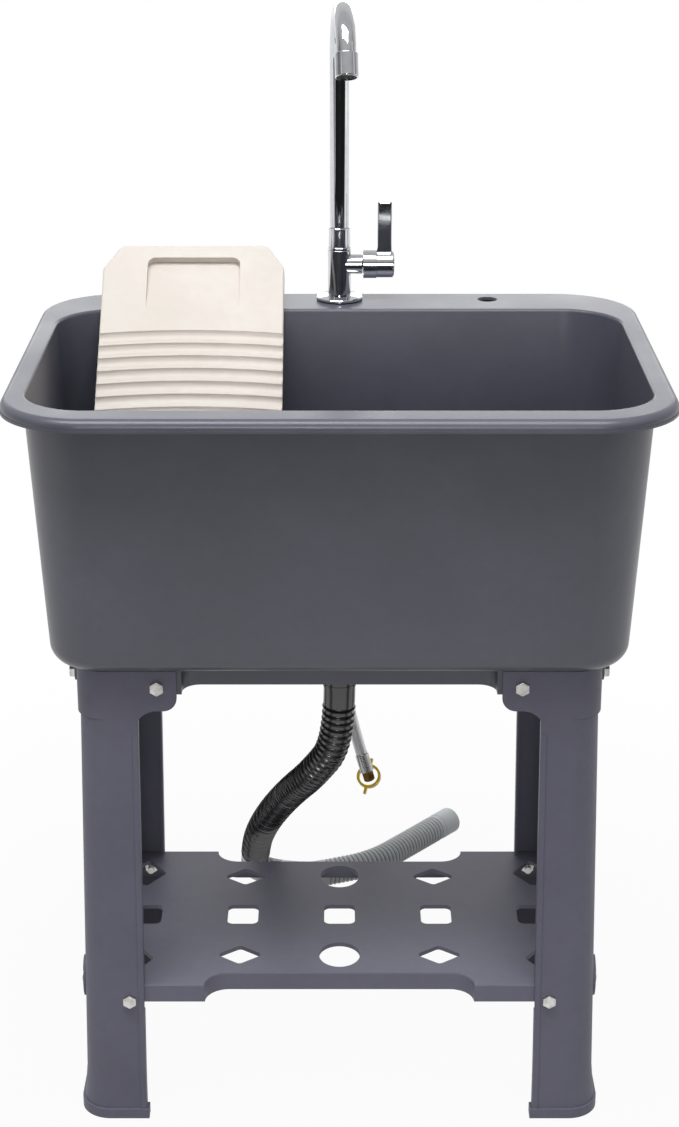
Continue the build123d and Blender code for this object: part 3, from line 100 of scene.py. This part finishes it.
def new_material(name):
    """An empty node material with its principled shader and output."""
    material = bpy.data.materials.new(name)
    material.use_nodes = True
    tree = material.node_tree
    tree.nodes.clear()
    shader = add(tree, "ShaderNodeBsdfPrincipled")
    output = add(tree, "ShaderNodeOutputMaterial")
    tree.links.new(shader.outputs["BSDF"], output.inputs["Surface"])
    return material, tree, shader


def moulded(name, base, deep, light, rough, grain_mm, grain_depth_mm, specular, edge_mm=0.8, rib_shade=0.0):
    """Injection moulded thermoplastic: a fine eroded grain, slow cloudy change of tone, and a roughness
    that drifts with handling. grain_mm is the spacing of the mould's texture. With rib_shade, painted
    shade: the tone falls by that share where a hose's own "shade" attribute marks its dark lines."""
    cloud_mm = 160.0
    flow_mm = 12.0
    rough_drift = 0.05
    material, tree, shader = new_material(name)
    place = add(tree, "ShaderNodeTexCoord").outputs["Object"]
    cloud = add(tree, "ShaderNodeTexNoise", {"Scale": 1 / (cloud_mm * MM), "Detail": 3.0, "Roughness": 0.55},
                Vector=place)
    flow = add(tree, "ShaderNodeTexNoise", {"Scale": 1 / (flow_mm * MM), "Detail": 4.0, "Roughness": 0.6},
               Vector=place)
    blend = add(tree, "ShaderNodeMath", {"operation": "MULTIPLY_ADD", 1: 0.35}, _0=flow.outputs["Fac"])
    tree.links.new(cloud.outputs["Fac"], blend.inputs[2])
    tones = ramp(tree, blend.outputs[0], [(0.45, deep), (0.68, base), (0.92, light)])
    # Painted shade: the hose's "shade" attribute darkens its tone along the ribs.
    if rib_shade:
        line = add(tree, "ShaderNodeAttribute", {"attribute_name": "shade"})
        dark = add(tree, "ShaderNodeMath", {"operation": "MULTIPLY", 1: rib_shade}, _0=line.outputs["Fac"])
        lit = add(tree, "ShaderNodeMath", {"operation": "SUBTRACT", 0: 1.0}, _1=dark.outputs[0])
        tones = add(tree, "ShaderNodeHueSaturation", None, Color=tones.outputs["Color"], Value=lit.outputs[0])
    tree.links.new(tones.outputs["Color"], shader.inputs["Base Color"])
    gloss = ramp(tree, cloud.outputs["Fac"], [(0.3, rough - rough_drift), (0.7, rough + rough_drift)])
    tree.links.new(gloss.outputs["Color"], shader.inputs["Roughness"])
    grain = add(tree, "ShaderNodeTexNoise", {"Scale": 1 / (grain_mm * MM), "Detail": 2.0, "Roughness": 0.5},
                Vector=place)
    bump = add(tree, "ShaderNodeBump", {"Strength": 0.35, "Distance": grain_depth_mm * MM},
               Height=grain.outputs["Fac"])
    if edge_mm:
        edge = add(tree, "ShaderNodeBevel", {"samples": 4, "Radius": edge_mm * MM})
        tree.links.new(edge.outputs["Normal"], bump.inputs["Normal"])
    tree.links.new(bump.outputs["Normal"], shader.inputs["Normal"])
    shader.inputs["Specular IOR Level"].default_value = specular
    shader.inputs["IOR"].default_value = 1.49
    return material


def metal(name, base, stain, rough, brush_mm=None, axis=(1, 1, 1), depth_mm=0.004, smudge=0.05):
    """Bare or plated metal: full metallic, a faint stain in its tone, smudges in its roughness and,
    where brush_mm is given, turning or brushing marks of that spacing drawn out along one axis."""
    patch_mm = 10.0
    material, tree, shader = new_material(name)
    place = add(tree, "ShaderNodeTexCoord").outputs["Object"]
    patch = add(tree, "ShaderNodeTexNoise", {"Scale": 1 / (patch_mm * MM), "Detail": 4.0, "Roughness": 0.6},
                Vector=place)
    tones = ramp(tree, patch.outputs["Fac"], [(0.35, stain), (0.62, base)])
    tree.links.new(tones.outputs["Color"], shader.inputs["Base Color"])
    gloss = ramp(tree, patch.outputs["Fac"], [(0.35, rough + smudge), (0.65, rough)])
    tree.links.new(gloss.outputs["Color"], shader.inputs["Roughness"])
    shader.inputs["Metallic"].default_value = 1.0
    if brush_mm:
        lines = add(tree, "ShaderNodeMapping", {"Scale": tuple(a / (brush_mm * MM) for a in axis)},
                    Vector=place)
        marks = add(tree, "ShaderNodeTexNoise", {"Scale": 1.0, "Detail": 2.0}, Vector=lines.outputs[0])
        bump = add(tree, "ShaderNodeBump", {"Strength": 0.3, "Distance": depth_mm * MM},
                   Height=marks.outputs["Fac"])
        tree.links.new(bump.outputs["Normal"], shader.inputs["Normal"])
    return material


# Polypropylene, injection moulded and spark-eroded: a soft satin sheen on slate grey.
tub_plastic = moulded("polypropylene_satin_slate", "#55565f", "#50515a", "#5b5c66", 0.34, 0.7, 0.01, 0.6,
                      edge_mm=0.0)
# The same resin in the legs, from a more finely textured mould, so it looks a little drier.
leg_plastic = moulded("polypropylene_fine_slate", "#676674", "#61606e", "#6d6c7a", 0.50, 0.5, 0.03, 0.34)
# The legs' resin again for the shelf, painted a shade paler as painted light where the tub shades it.
shelf_plastic_painted_lighter = moulded("polypropylene_slate_painted_lighter", "#6f6e7c", "#696876", "#757482", 0.50, 0.5, 0.03, 0.34)
# Cream polypropylene, polished mould with a faint bloom from soap.
board_plastic = moulded("polypropylene_cream", "#d6cdc2", "#d0c8bc", "#dcd5cb", 0.44, 1.1, 0.03, 0.36)
# Black corrugated polyethylene, extruded: semi gloss, with painted shade darkening its crests.
black_hose_plastic = moulded("polyethylene_black_extruded", "#2a2a2c", "#232325", "#303032", 0.25, 1.5,
                             0.004, 1.0, edge_mm=0.0, rib_shade=0.8)
# Grey corrugated polypropylene, extruded: duller than the black one, with painted shade darkening its
# grooves.
grey_hose_plastic = moulded("polypropylene_grey_extruded", "#cfd2d3", "#c6c9ca", "#d7dadb", 0.42, 1.5,
                            0.006, 0.4, edge_mm=0.0, rib_shade=0.72)
# Glass-filled nylon of the drain fittings: matt black, so the drain reads as a dark well.
black_nylon = moulded("nylon_black_moulded", "#18181a", "#131314", "#1f1f21", 0.5, 0.5, 0.03, 0.4)
# Natural nylon of the spout's bush: a milky, slightly waxy white.
white_nylon = moulded("nylon_white_moulded", "#dcdcd8", "#d2d2cd", "#e6e6e2", 0.4, 0.6, 0.02, 0.45)
# Moulded nitrile rubber, matt and slightly dusty.
rubber = moulded("nitrile_rubber_moulded", "#1c1b1b", "#161515", "#262524", 0.7, 0.4, 0.04, 0.3)
# Chromium plate over polished brass: a mirror with only the faintest haze.
chrome = metal("chromium_plate_polished", "#d8d9dc", "#cfd0d4", 0.05, smudge=0.03)
# Zinc plated steel of the fasteners: bright with a grey bloom and rolling marks.
zinc = metal("zinc_plate_passivated", "#e2e1de", "#bdbbb6", 0.26, 0.9, (1, 1, 1), 0.02, 0.12)
# Stamped stainless steel, tumbled: an even grey shine without a direction.
stainless = metal("stainless_steel_tumbled", "#bdbdbb", "#a8a8a6", 0.24, 0.7, (1, 1, 1), 0.01, 0.08)
# Turned brass, dulled brown by handling.
brass = metal("brass_turned_dull", "#8a6a34", "#4d3415", 0.34, 0.6, (1, 1, 8), 0.02, 0.15)


def yellow_lacquer():
    """Spring steel under an opaque yellow lacquer: glossy, and a little deeper in tone in small patches."""
    patch_mm = 4.0
    material, tree, shader = new_material("spring_steel_yellow_lacquer")
    place = add(tree, "ShaderNodeTexCoord").outputs["Object"]
    patch = add(tree, "ShaderNodeTexNoise", {"Scale": 1 / (patch_mm * MM), "Detail": 3.0}, Vector=place)
    tones = ramp(tree, patch.outputs["Fac"], [(0.35, "#efc106"), (0.65, "#ffe01c")])
    tree.links.new(tones.outputs["Color"], shader.inputs["Base Color"])
    gloss = ramp(tree, patch.outputs["Fac"], [(0.3, 0.38), (0.7, 0.28)])
    tree.links.new(gloss.outputs["Color"], shader.inputs["Roughness"])
    shader.inputs["Coat Weight"].default_value = 0.3
    return material


def braided_wire():
    """Stainless braid: two families of wire bands crossing at 45 degrees, read from the sleeve's own UV
    map, whose U runs once round and V along in units of the circumference. 24 carriers make the bands
    1.8 mm wide; the wires inside a band are too fine to show and are left out."""
    carriers = 24.0
    material, tree, shader = new_material("stainless_braid_woven")
    uv = add(tree, "ShaderNodeUVMap", {"uv_map": "along"}).outputs["UV"]
    parts = add(tree, "ShaderNodeSeparateXYZ", None, Vector=uv)
    waves = []
    for sign in (1.0, -1.0):
        turned = add(tree, "ShaderNodeMath", {"operation": "MULTIPLY_ADD", 1: sign}, _0=parts.outputs["Y"])
        tree.links.new(parts.outputs["X"], turned.inputs[2])
        angle = add(tree, "ShaderNodeMath", {"operation": "MULTIPLY", 1: carriers * pi}, _0=turned.outputs[0])
        wave = add(tree, "ShaderNodeMath", {"operation": "SINE"}, _0=angle.outputs[0])
        waves.append(add(tree, "ShaderNodeMath", {"operation": "ABSOLUTE"}, _0=wave.outputs[0]))
    cross = add(tree, "ShaderNodeMath", {"operation": "MAXIMUM"}, _0=waves[0].outputs[0],
                _1=waves[1].outputs[0])
    tones = ramp(tree, cross.outputs[0], [(0.45, "#68686a"), (0.85, "#dededf")])
    tree.links.new(tones.outputs["Color"], shader.inputs["Base Color"])
    bump = add(tree, "ShaderNodeBump", {"Strength": 0.6, "Distance": 0.25 * MM}, Height=cross.outputs[0])
    tree.links.new(bump.outputs["Normal"], shader.inputs["Normal"])
    shader.inputs["Metallic"].default_value = 1.0
    shader.inputs["Roughness"].default_value = 0.32
    return material


lacquer = yellow_lacquer()
braid = braided_wire()

finishes = {
    "tub": tub_plastic, "upper_frame": tub_plastic, "shelf": shelf_plastic_painted_lighter, "washboard": board_plastic,
    "leg_front_left": leg_plastic, "leg_front_right": leg_plastic, "leg_rear_left": leg_plastic,
    "leg_rear_right": leg_plastic, "upper_leg_bolts": zinc, "upper_leg_washers": zinc, "upper_leg_nuts": zinc,
    "lower_leg_bolts": zinc, "lower_leg_washers": zinc, "lower_leg_nuts": zinc, "drain_gasket": rubber,
    "drain_body": black_nylon, "drain_washer": rubber, "drain_nut": black_nylon, "strainer_basket": stainless,
    "strainer_knob": black_nylon, "tap_gasket": rubber, "tap_flange": chrome, "tap_body": chrome,
    "valve_cartridge": brass, "valve_spindle": brass, "lever_handle": chrome, "lever_screw": zinc,
    "lever_cap": chrome, "spout_tube": chrome, "spout_seal": rubber, "spout_bush": white_nylon,
    "spout_nut": chrome, "aerator_housing": chrome, "aerator_insert": black_nylon, "tap_washer": rubber,
    "tap_locknut": brass, "supply_union_nut": chrome, "supply_ferrule_top": stainless,
    "supply_hose": braid, "supply_ferrule": stainless, "supply_nipple": brass, "hose_clamp": lacquer,
    "hose_cuff": black_hose_plastic, "drain_hose": black_hose_plastic, "hose_elbow": black_hose_plastic,
    "outlet_cuff": grey_hose_plastic, "outlet_hose": grey_hose_plastic, "outlet_end": grey_hose_plastic,
}
for node_name, finish in finishes.items():
    node_mesh = nodes[node_name].data
    node_mesh.materials.clear()
    node_mesh.materials.append(finish)


# ---------------------------------------------------------------- surfaces
def link_piece(name, mesh, material, body):
    """Puts a finished mesh in the scene as a piece that rides on a body."""
    piece = bpy.data.objects.new(name, mesh)
    bpy.context.scene.collection.objects.link(piece)
    mesh.materials.clear()
    mesh.materials.append(material)
    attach(piece, body)
    return piece


merge_distance = 2e-6
crease_angle = radians(32.0)
hose_crease_angle = radians(50.0)
flat_weight = 60


def smoothed(node_name):
    """Copy of a node with its loose triangles joined: corners at the same place become one, surfaces
    that meet under the crease angle shade as one, and flat faces keep their own normal."""
    source = nodes[node_name].data
    count = len(source.vertices)
    points = np.empty(count * 3, dtype=np.float32)
    source.vertices.foreach_get("co", points)
    points = points.reshape(-1, 3)
    corners = np.empty(len(source.loops), dtype=np.int32)
    source.loops.foreach_get("vertex_index", corners)
    keys = np.round(points / merge_distance).astype(np.int64)
    _, first, back = np.unique(keys, axis=0, return_index=True, return_inverse=True)
    faces = back.reshape(-1)[corners].reshape(-1, 3)
    sound = (faces[:, 0] != faces[:, 1]) & (faces[:, 1] != faces[:, 2]) & (faces[:, 2] != faces[:, 0])
    mesh = bpy.data.meshes.new(node_name + "_surface")
    mesh.from_pydata(points[first].tolist(), [], faces[sound].tolist())
    mesh.shade_smooth()
    mesh.set_sharp_from_angle(angle=crease_angle)
    body = next(b for b, members in frame["record"]["behaviour"]["bodies"].items() if node_name in members)
    piece = link_piece(node_name + "_surface", mesh, finishes[node_name], body)
    weighted = piece.modifiers.new("even", "WEIGHTED_NORMAL")
    weighted.keep_sharp = True
    weighted.weight = flat_weight
    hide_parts(node_name)
    return piece


swept_nodes = ("supply_hose", "drain_hose", "outlet_cuff", "outlet_hose")
surfaces = {name: smoothed(name) for name in finishes if name not in swept_nodes}


def centreline(name, route, step):
    """Points every step along the smooth line that a route's points steer, read from its spline, and
    how far along each lies. A weighted mean over 5 points takes out the spline's own short facets."""
    curve = bpy.data.curves.new(name, "CURVE")
    curve.dimensions = "3D"
    curve.resolution_u = 24
    spline = curve.splines.new("NURBS")
    spline.points.add(len(route) - 1)
    spline.points.foreach_set("co", np.column_stack([route, np.ones(len(route))]).ravel())
    spline.order_u = 3
    spline.use_endpoint_u = True
    holder = bpy.data.objects.new(name, curve)
    bpy.context.scene.collection.objects.link(holder)
    bpy.context.view_layer.update()
    mesh = bpy.data.meshes.new_from_object(holder)
    raw = np.empty(len(mesh.vertices) * 3)
    mesh.vertices.foreach_get("co", raw)
    raw = raw.reshape(-1, 3)
    bpy.data.meshes.remove(mesh)
    bpy.data.objects.remove(holder)
    bpy.data.curves.remove(curve)
    run = np.concatenate([[0.0], np.cumsum(np.linalg.norm(np.diff(raw, axis=0), axis=1))])
    places = np.linspace(0.0, run[-1], max(2, int(round(run[-1] / step)) + 1))
    line = np.column_stack([np.interp(places, run, raw[:, k]) for k in range(3)])
    kernel = np.array([1.0, 2.0, 3.0, 2.0, 1.0]) / 9.0
    padded = np.pad(line, ((2, 2), (0, 0)), mode="reflect", reflect_type="odd")
    soft = np.column_stack([np.convolve(padded[:, k], kernel, "valid") for k in range(3)])
    return soft, places


def swept(name, line, radii, steady, around, bore, shade=None):
    """Surface of a round profile carried along a line: point(i, a) = line(i) + radii(i) * (across cos a
    + upward sin a), where across is a steady direction made square to the line. A second, inner sleeve
    of radius bore and two end rings close it to a wall. U goes round once and V along in
    circumferences. shade, one value for each point of the line, is kept on the mesh for its material."""
    ahead = np.gradient(line, axis=0)
    ahead /= np.linalg.norm(ahead, axis=1)[:, None]
    across = steady - ahead * (ahead @ steady)[:, None]
    across /= np.linalg.norm(across, axis=1)[:, None]
    upward = np.cross(ahead, across)
    order = np.concatenate([np.arange(len(line)), np.arange(len(line))[::-1]])
    both_radii = np.concatenate([radii, np.full(len(line), bore)])
    turn = np.linspace(0.0, 2 * pi, around, endpoint=False)
    ring = (across[order, None] * np.cos(turn)[:, None] + upward[order, None] * np.sin(turn)[:, None])
    points = line[order, None] + both_radii[:, None, None] * ring
    rows = len(order)
    i, j = np.meshgrid(np.arange(rows), np.arange(around), indexing="ij")
    i2, j2 = (i + 1) % rows, (j + 1) % around
    faces = np.stack([i * around + j, i * around + j2, i2 * around + j2, i2 * around + j], -1).reshape(-1, 4)
    mesh = bpy.data.meshes.new(name)
    mesh.from_pydata(points.reshape(-1, 3).tolist(), [], faces.tolist())
    along = np.concatenate([[0.0], np.cumsum(np.linalg.norm(np.diff(line, axis=0), axis=1))])
    girth = 2 * pi * float(np.mean(radii))
    v_of = (along / girth)[order]
    v_of = np.append(v_of, v_of[0])
    u = np.stack([j, j + 1, j + 1, j], -1).reshape(-1) / around
    v = np.stack([v_of[i], v_of[i], v_of[i + 1], v_of[i + 1]], -1).reshape(-1)
    layer = mesh.uv_layers.new(name="along")
    layer.data.foreach_set("uv", np.column_stack([u, v]).ravel())
    # The "shade" values are painted shade, darkening the ribbed hoses' tone along their ribs.
    if shade is not None:
        mark = mesh.attributes.new("shade", "FLOAT", "POINT")
        mark.data.foreach_set("value", np.repeat(shade[order], around).astype(np.float32))
    mesh.shade_smooth()
    mesh.set_sharp_from_angle(angle=hose_crease_angle)
    return mesh


def corrugation(places, neck, neck_radius, root, crest, pitch, sharpness):
    """Radius along a corrugated hose: a smooth neck at each end, and between them crests one pitch
    apart, radius = root + (crest - root) * cosine bump raised to a power that narrows the crest."""
    length = places[-1]
    count = int((length - 2 * neck) / pitch)
    start = (length - count * pitch) / 2
    phase = (places - start) / pitch
    bump = (0.5 - 0.5 * np.cos(2 * pi * phase)) ** sharpness
    ribbed = root + (crest - root) * bump
    return np.where((places < start) | (places > length - start), neck_radius, ribbed)


# ---------------------------------------------------------------- hoses
supply_route = np.array([(0, 217, 730), (0, 217, 665), (-2, 218, 590), (-2, 219, 510), (-1, 219, 430),
                         (2.5, 218, 355), (13.5, 217, 290), (26.3, 217, 245)]) * MM
supply_radius = 7.0 * MM
supply_bore = 4.5 * MM

drain_route = np.array([(0, -21, 438), (0, -21, 370), (-30, 10, 317), (-51, 56, 277), (-69, 104, 235),
                        (-83, 154, 193), (-94, 204, 151), (-102, 254, 108), (-106, 303, 62)]) * MM
drain_neck = 21.0 * MM
drain_neck_radius = 17.0 * MM
drain_root = 16.0 * MM
drain_crest = 18.0 * MM
drain_bore = 14.0 * MM
drain_pitch = 7.6 * MM
drain_crest_sharpness = 4.0
drain_shade_height = 1.6 * MM

elbow_corner_run = 132.6 * MM
elbow_leg = 36.5 * MM
cuff_corner = np.array((-40.2, 334.9, 17.4)) * MM
cuff_corner_run = 25.0 * MM
outlet_bends = np.array([(42.5, 368.5, 17.4), (88, 421.5, 17.4), (130, 472, 17.4)]) * MM
cuff_length = 58.0 * MM
cuff_radius = 17.0 * MM
outlet_neck = 4.0 * MM
outlet_neck_radius = 16.6 * MM
outlet_root = 15.0 * MM
outlet_crest = 17.0 * MM
outlet_bore = 12.5 * MM
outlet_pitch = 5.8 * MM
outlet_crest_sharpness = 0.5
outlet_shade_top = 16.2 * MM
outlet_shade_height = 1.0 * MM

supply_around = 40
ribbed_around = 56
supply_step = 2.0 * MM
drain_step = 0.65 * MM
outlet_step = 0.6 * MM


def towards(start, end, distance):
    """Point at a distance from one point towards another."""
    return start + (end - start) * (distance / np.linalg.norm(end - start))


elbow_corner = towards(drain_route[-2], drain_route[-1], elbow_corner_run)
elbow_end = towards(elbow_corner, cuff_corner, elbow_leg)
cuff_turn = towards(cuff_corner, outlet_bends[0], cuff_corner_run)
outlet_route = np.vstack([elbow_end, cuff_corner, cuff_turn, outlet_bends])

supply_line, supply_places = centreline("supply_line", supply_route, supply_step)
supply_mesh = swept("supply_hose_braid", supply_line, np.full(len(supply_line), supply_radius),
                    np.array([0.0, 1.0, 0.0]), supply_around, supply_bore)
supply_piece = link_piece("supply_hose_braid", supply_mesh, braid, "sink")
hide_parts("supply_hose")

# The black hose's narrow crests carry painted shade, so they read as dark lines, and the wide roots between
# them as lit bands.
drain_line, drain_places = centreline("drain_line", drain_route, drain_step)
drain_radii = corrugation(drain_places, drain_neck, drain_neck_radius, drain_root, drain_crest, drain_pitch,
                          drain_crest_sharpness)
on_neck = np.abs(drain_radii - drain_neck_radius) <= 1e-9
drain_shade = np.where(on_neck, 0.0, np.clip((drain_radii - drain_root) / drain_shade_height, 0.0, 1.0))
drain_mesh = swept("drain_hose_ribbed", drain_line, drain_radii, np.array([1.0, 0.0, 0.0]), ribbed_around,
                   drain_bore, drain_shade)
drain_piece = link_piece("drain_hose_ribbed", drain_mesh, black_hose_plastic, "sink")
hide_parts("drain_hose")

# The grey hose is the other way round: wide round crests, and narrow grooves with painted shade that read as
# dark lines.
outlet_line, outlet_places = centreline("outlet_line", outlet_route, outlet_step)
outlet_ribs = corrugation(outlet_places, outlet_neck, outlet_neck_radius, outlet_root, outlet_crest,
                          outlet_pitch, outlet_crest_sharpness)
outlet_radii = np.where(outlet_places < cuff_length, cuff_radius, outlet_ribs)
outlet_shade = np.clip((outlet_shade_top - outlet_radii) / outlet_shade_height, 0.0, 1.0)
outlet_mesh = swept("outlet_hose_ribbed", outlet_line, outlet_radii, np.array([0.0, 0.0, 1.0]), ribbed_around,
                    outlet_bore, outlet_shade)
outlet_piece = link_piece("outlet_hose_ribbed", outlet_mesh, grey_hose_plastic, "sink")
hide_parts("outlet_cuff", "outlet_hose")


# ---------------------------------------------------------------- floor and light
floor_level = -0.0006
floor_reach = 30.0


def stage_material():
    """Matt white floor that the camera and mirrors see nearly white, with the object's shadow kept. The
    white seen in mirrors falls off in front of the object, which gives the chrome its dark core."""
    dark_front, white_front = -2.4, -1.1
    shadow_reach, paper_reach = 0.35, 1.3
    shadow_share = 0.955
    material = bpy.data.materials.new("floor_white_paper")
    material.use_nodes = True
    tree = material.node_tree
    tree.nodes.clear()
    matt = add(tree, "ShaderNodeBsdfDiffuse", {"Color": colour("#909090")})
    rays = add(tree, "ShaderNodeLightPath")
    place = add(tree, "ShaderNodeTexCoord").outputs["Object"]
    depth = add(tree, "ShaderNodeSeparateXYZ", None, Vector=place)
    front = add(tree, "ShaderNodeMapRange", {"interpolation_type": "SMOOTHSTEP", "From Min": dark_front,
                                             "From Max": white_front, "To Min": 0.015, "To Max": 1.0},
                Value=depth.outputs["Y"])
    power = add(tree, "ShaderNodeMix", {"data_type": "FLOAT", "B": 1.0}, Factor=rays.outputs["Is Camera Ray"],
                A=front.outputs["Result"])
    glow = add(tree, "ShaderNodeEmission", {"Color": (1.0, 1.0, 1.0, 1.0)}, Strength=power.outputs[0])
    seen = add(tree, "ShaderNodeMath", {"operation": "ADD"}, _0=rays.outputs["Is Camera Ray"],
               _1=rays.outputs["Is Glossy Ray"])
    seen = add(tree, "ShaderNodeMath", {"operation": "ADD", "use_clamp": True}, _0=seen.outputs[0],
               _1=rays.outputs["Is Transmission Ray"])
    far = add(tree, "ShaderNodeVectorMath", {"operation": "LENGTH"}, _0=place)
    white = add(tree, "ShaderNodeMapRange", {"interpolation_type": "SMOOTHSTEP", "From Min": shadow_reach,
                                             "From Max": paper_reach, "To Min": shadow_share, "To Max": 1.0},
                Value=far.outputs["Value"])
    share = add(tree, "ShaderNodeMath", {"operation": "MULTIPLY"}, _0=seen.outputs[0], _1=white.outputs[0])
    mix = add(tree, "ShaderNodeMixShader", None, Fac=share.outputs[0], _1=matt.outputs[0],
              _2=glow.outputs[0])
    output = add(tree, "ShaderNodeOutputMaterial")
    tree.links.new(mix.outputs[0], output.inputs["Surface"])
    return material


floor_mesh = bpy.data.meshes.new("floor")
floor_mesh.from_pydata([(x * floor_reach, y * floor_reach, floor_level)
                        for x, y in ((-1, -1), (1, -1), (1, 1), (-1, 1))], [], [(0, 1, 2, 3)])
floor_mesh.materials.append(stage_material())
floor = bpy.data.objects.new("floor", floor_mesh)
bpy.context.scene.collection.objects.link(floor)

# The room is dark in front and white behind and overhead, and the camera sees it white all round.
world = bpy.data.worlds.new("studio")
bpy.context.scene.world = world
world.use_nodes = True
sky = world.node_tree
sky.nodes.clear()
way = add(sky, "ShaderNodeSeparateXYZ", None, Vector=add(sky, "ShaderNodeTexCoord").outputs["Generated"])
room = add(sky, "ShaderNodeMapRange", {"interpolation_type": "SMOOTHSTEP", "From Min": -0.4, "From Max": 0.8,
                                       "To Min": 0.03, "To Max": 0.7}, Value=way.outputs["Y"])
overhead = add(sky, "ShaderNodeMapRange", {"interpolation_type": "SMOOTHSTEP", "From Min": 0.1,
                                           "From Max": 0.7, "To Min": 0.0, "To Max": 0.55},
               Value=way.outputs["Z"])
brighter = add(sky, "ShaderNodeMath", {"operation": "MAXIMUM"}, _0=room.outputs["Result"],
               _1=overhead.outputs["Result"])
rays = add(sky, "ShaderNodeLightPath")
level = add(sky, "ShaderNodeMix", {"data_type": "FLOAT", "B": 1.0}, Factor=rays.outputs["Is Camera Ray"],
            A=brighter.outputs[0])
backdrop = add(sky, "ShaderNodeBackground", {"Color": (1.0, 1.0, 1.0, 1.0)}, Strength=level.outputs[0])
sky_output = add(sky, "ShaderNodeOutputWorld")
sky.links.new(backdrop.outputs[0], sky_output.inputs["Surface"])


def softbox(name, place, aim, width, height, power, tint=(1.0, 1.0, 1.0)):
    """Rectangular area lamp at a place, turned towards an aim point."""
    lamp = bpy.data.lights.new(name, "AREA")
    lamp.shape = "RECTANGLE"
    lamp.size = width
    lamp.size_y = height
    lamp.energy = power
    lamp.color = tint
    holder = bpy.data.objects.new(name, lamp)
    holder.location = place
    holder.visible_camera = False
    across, back, up = np.array(aim) - np.array(place)
    pitch = np.arctan2(up, np.hypot(across, back))
    holder.rotation_euler = (pi / 2 + pitch, 0.0, np.arctan2(back, across) - pi / 2)
    bpy.context.scene.collection.objects.link(holder)


softbox("key_high_front", (-0.3, -1.0, 3.8), (0.0, 0.0, 0.5), width=3.0, height=1.4, power=103.0,
        tint=(0.96, 0.985, 1.05))
softbox("front_low", (0.0, -3.5, 1.3), (0.0, 0.0, 0.4), width=0.7, height=0.8, power=26.0)
softbox("behind_low", (0.0, 3.4, 1.5), (0.0, 0.1, 0.8), width=3.2, height=0.7, power=16.0)
softbox("strip_left", (-2.3, -1.3, 1.4), (0.0, 0.1, 0.7), width=0.4, height=2.2, power=2.0)
softbox("side_right", (2.8, -0.1, 1.5), (0.0, 0.0, 0.6), width=0.6, height=2.2, power=2.0)
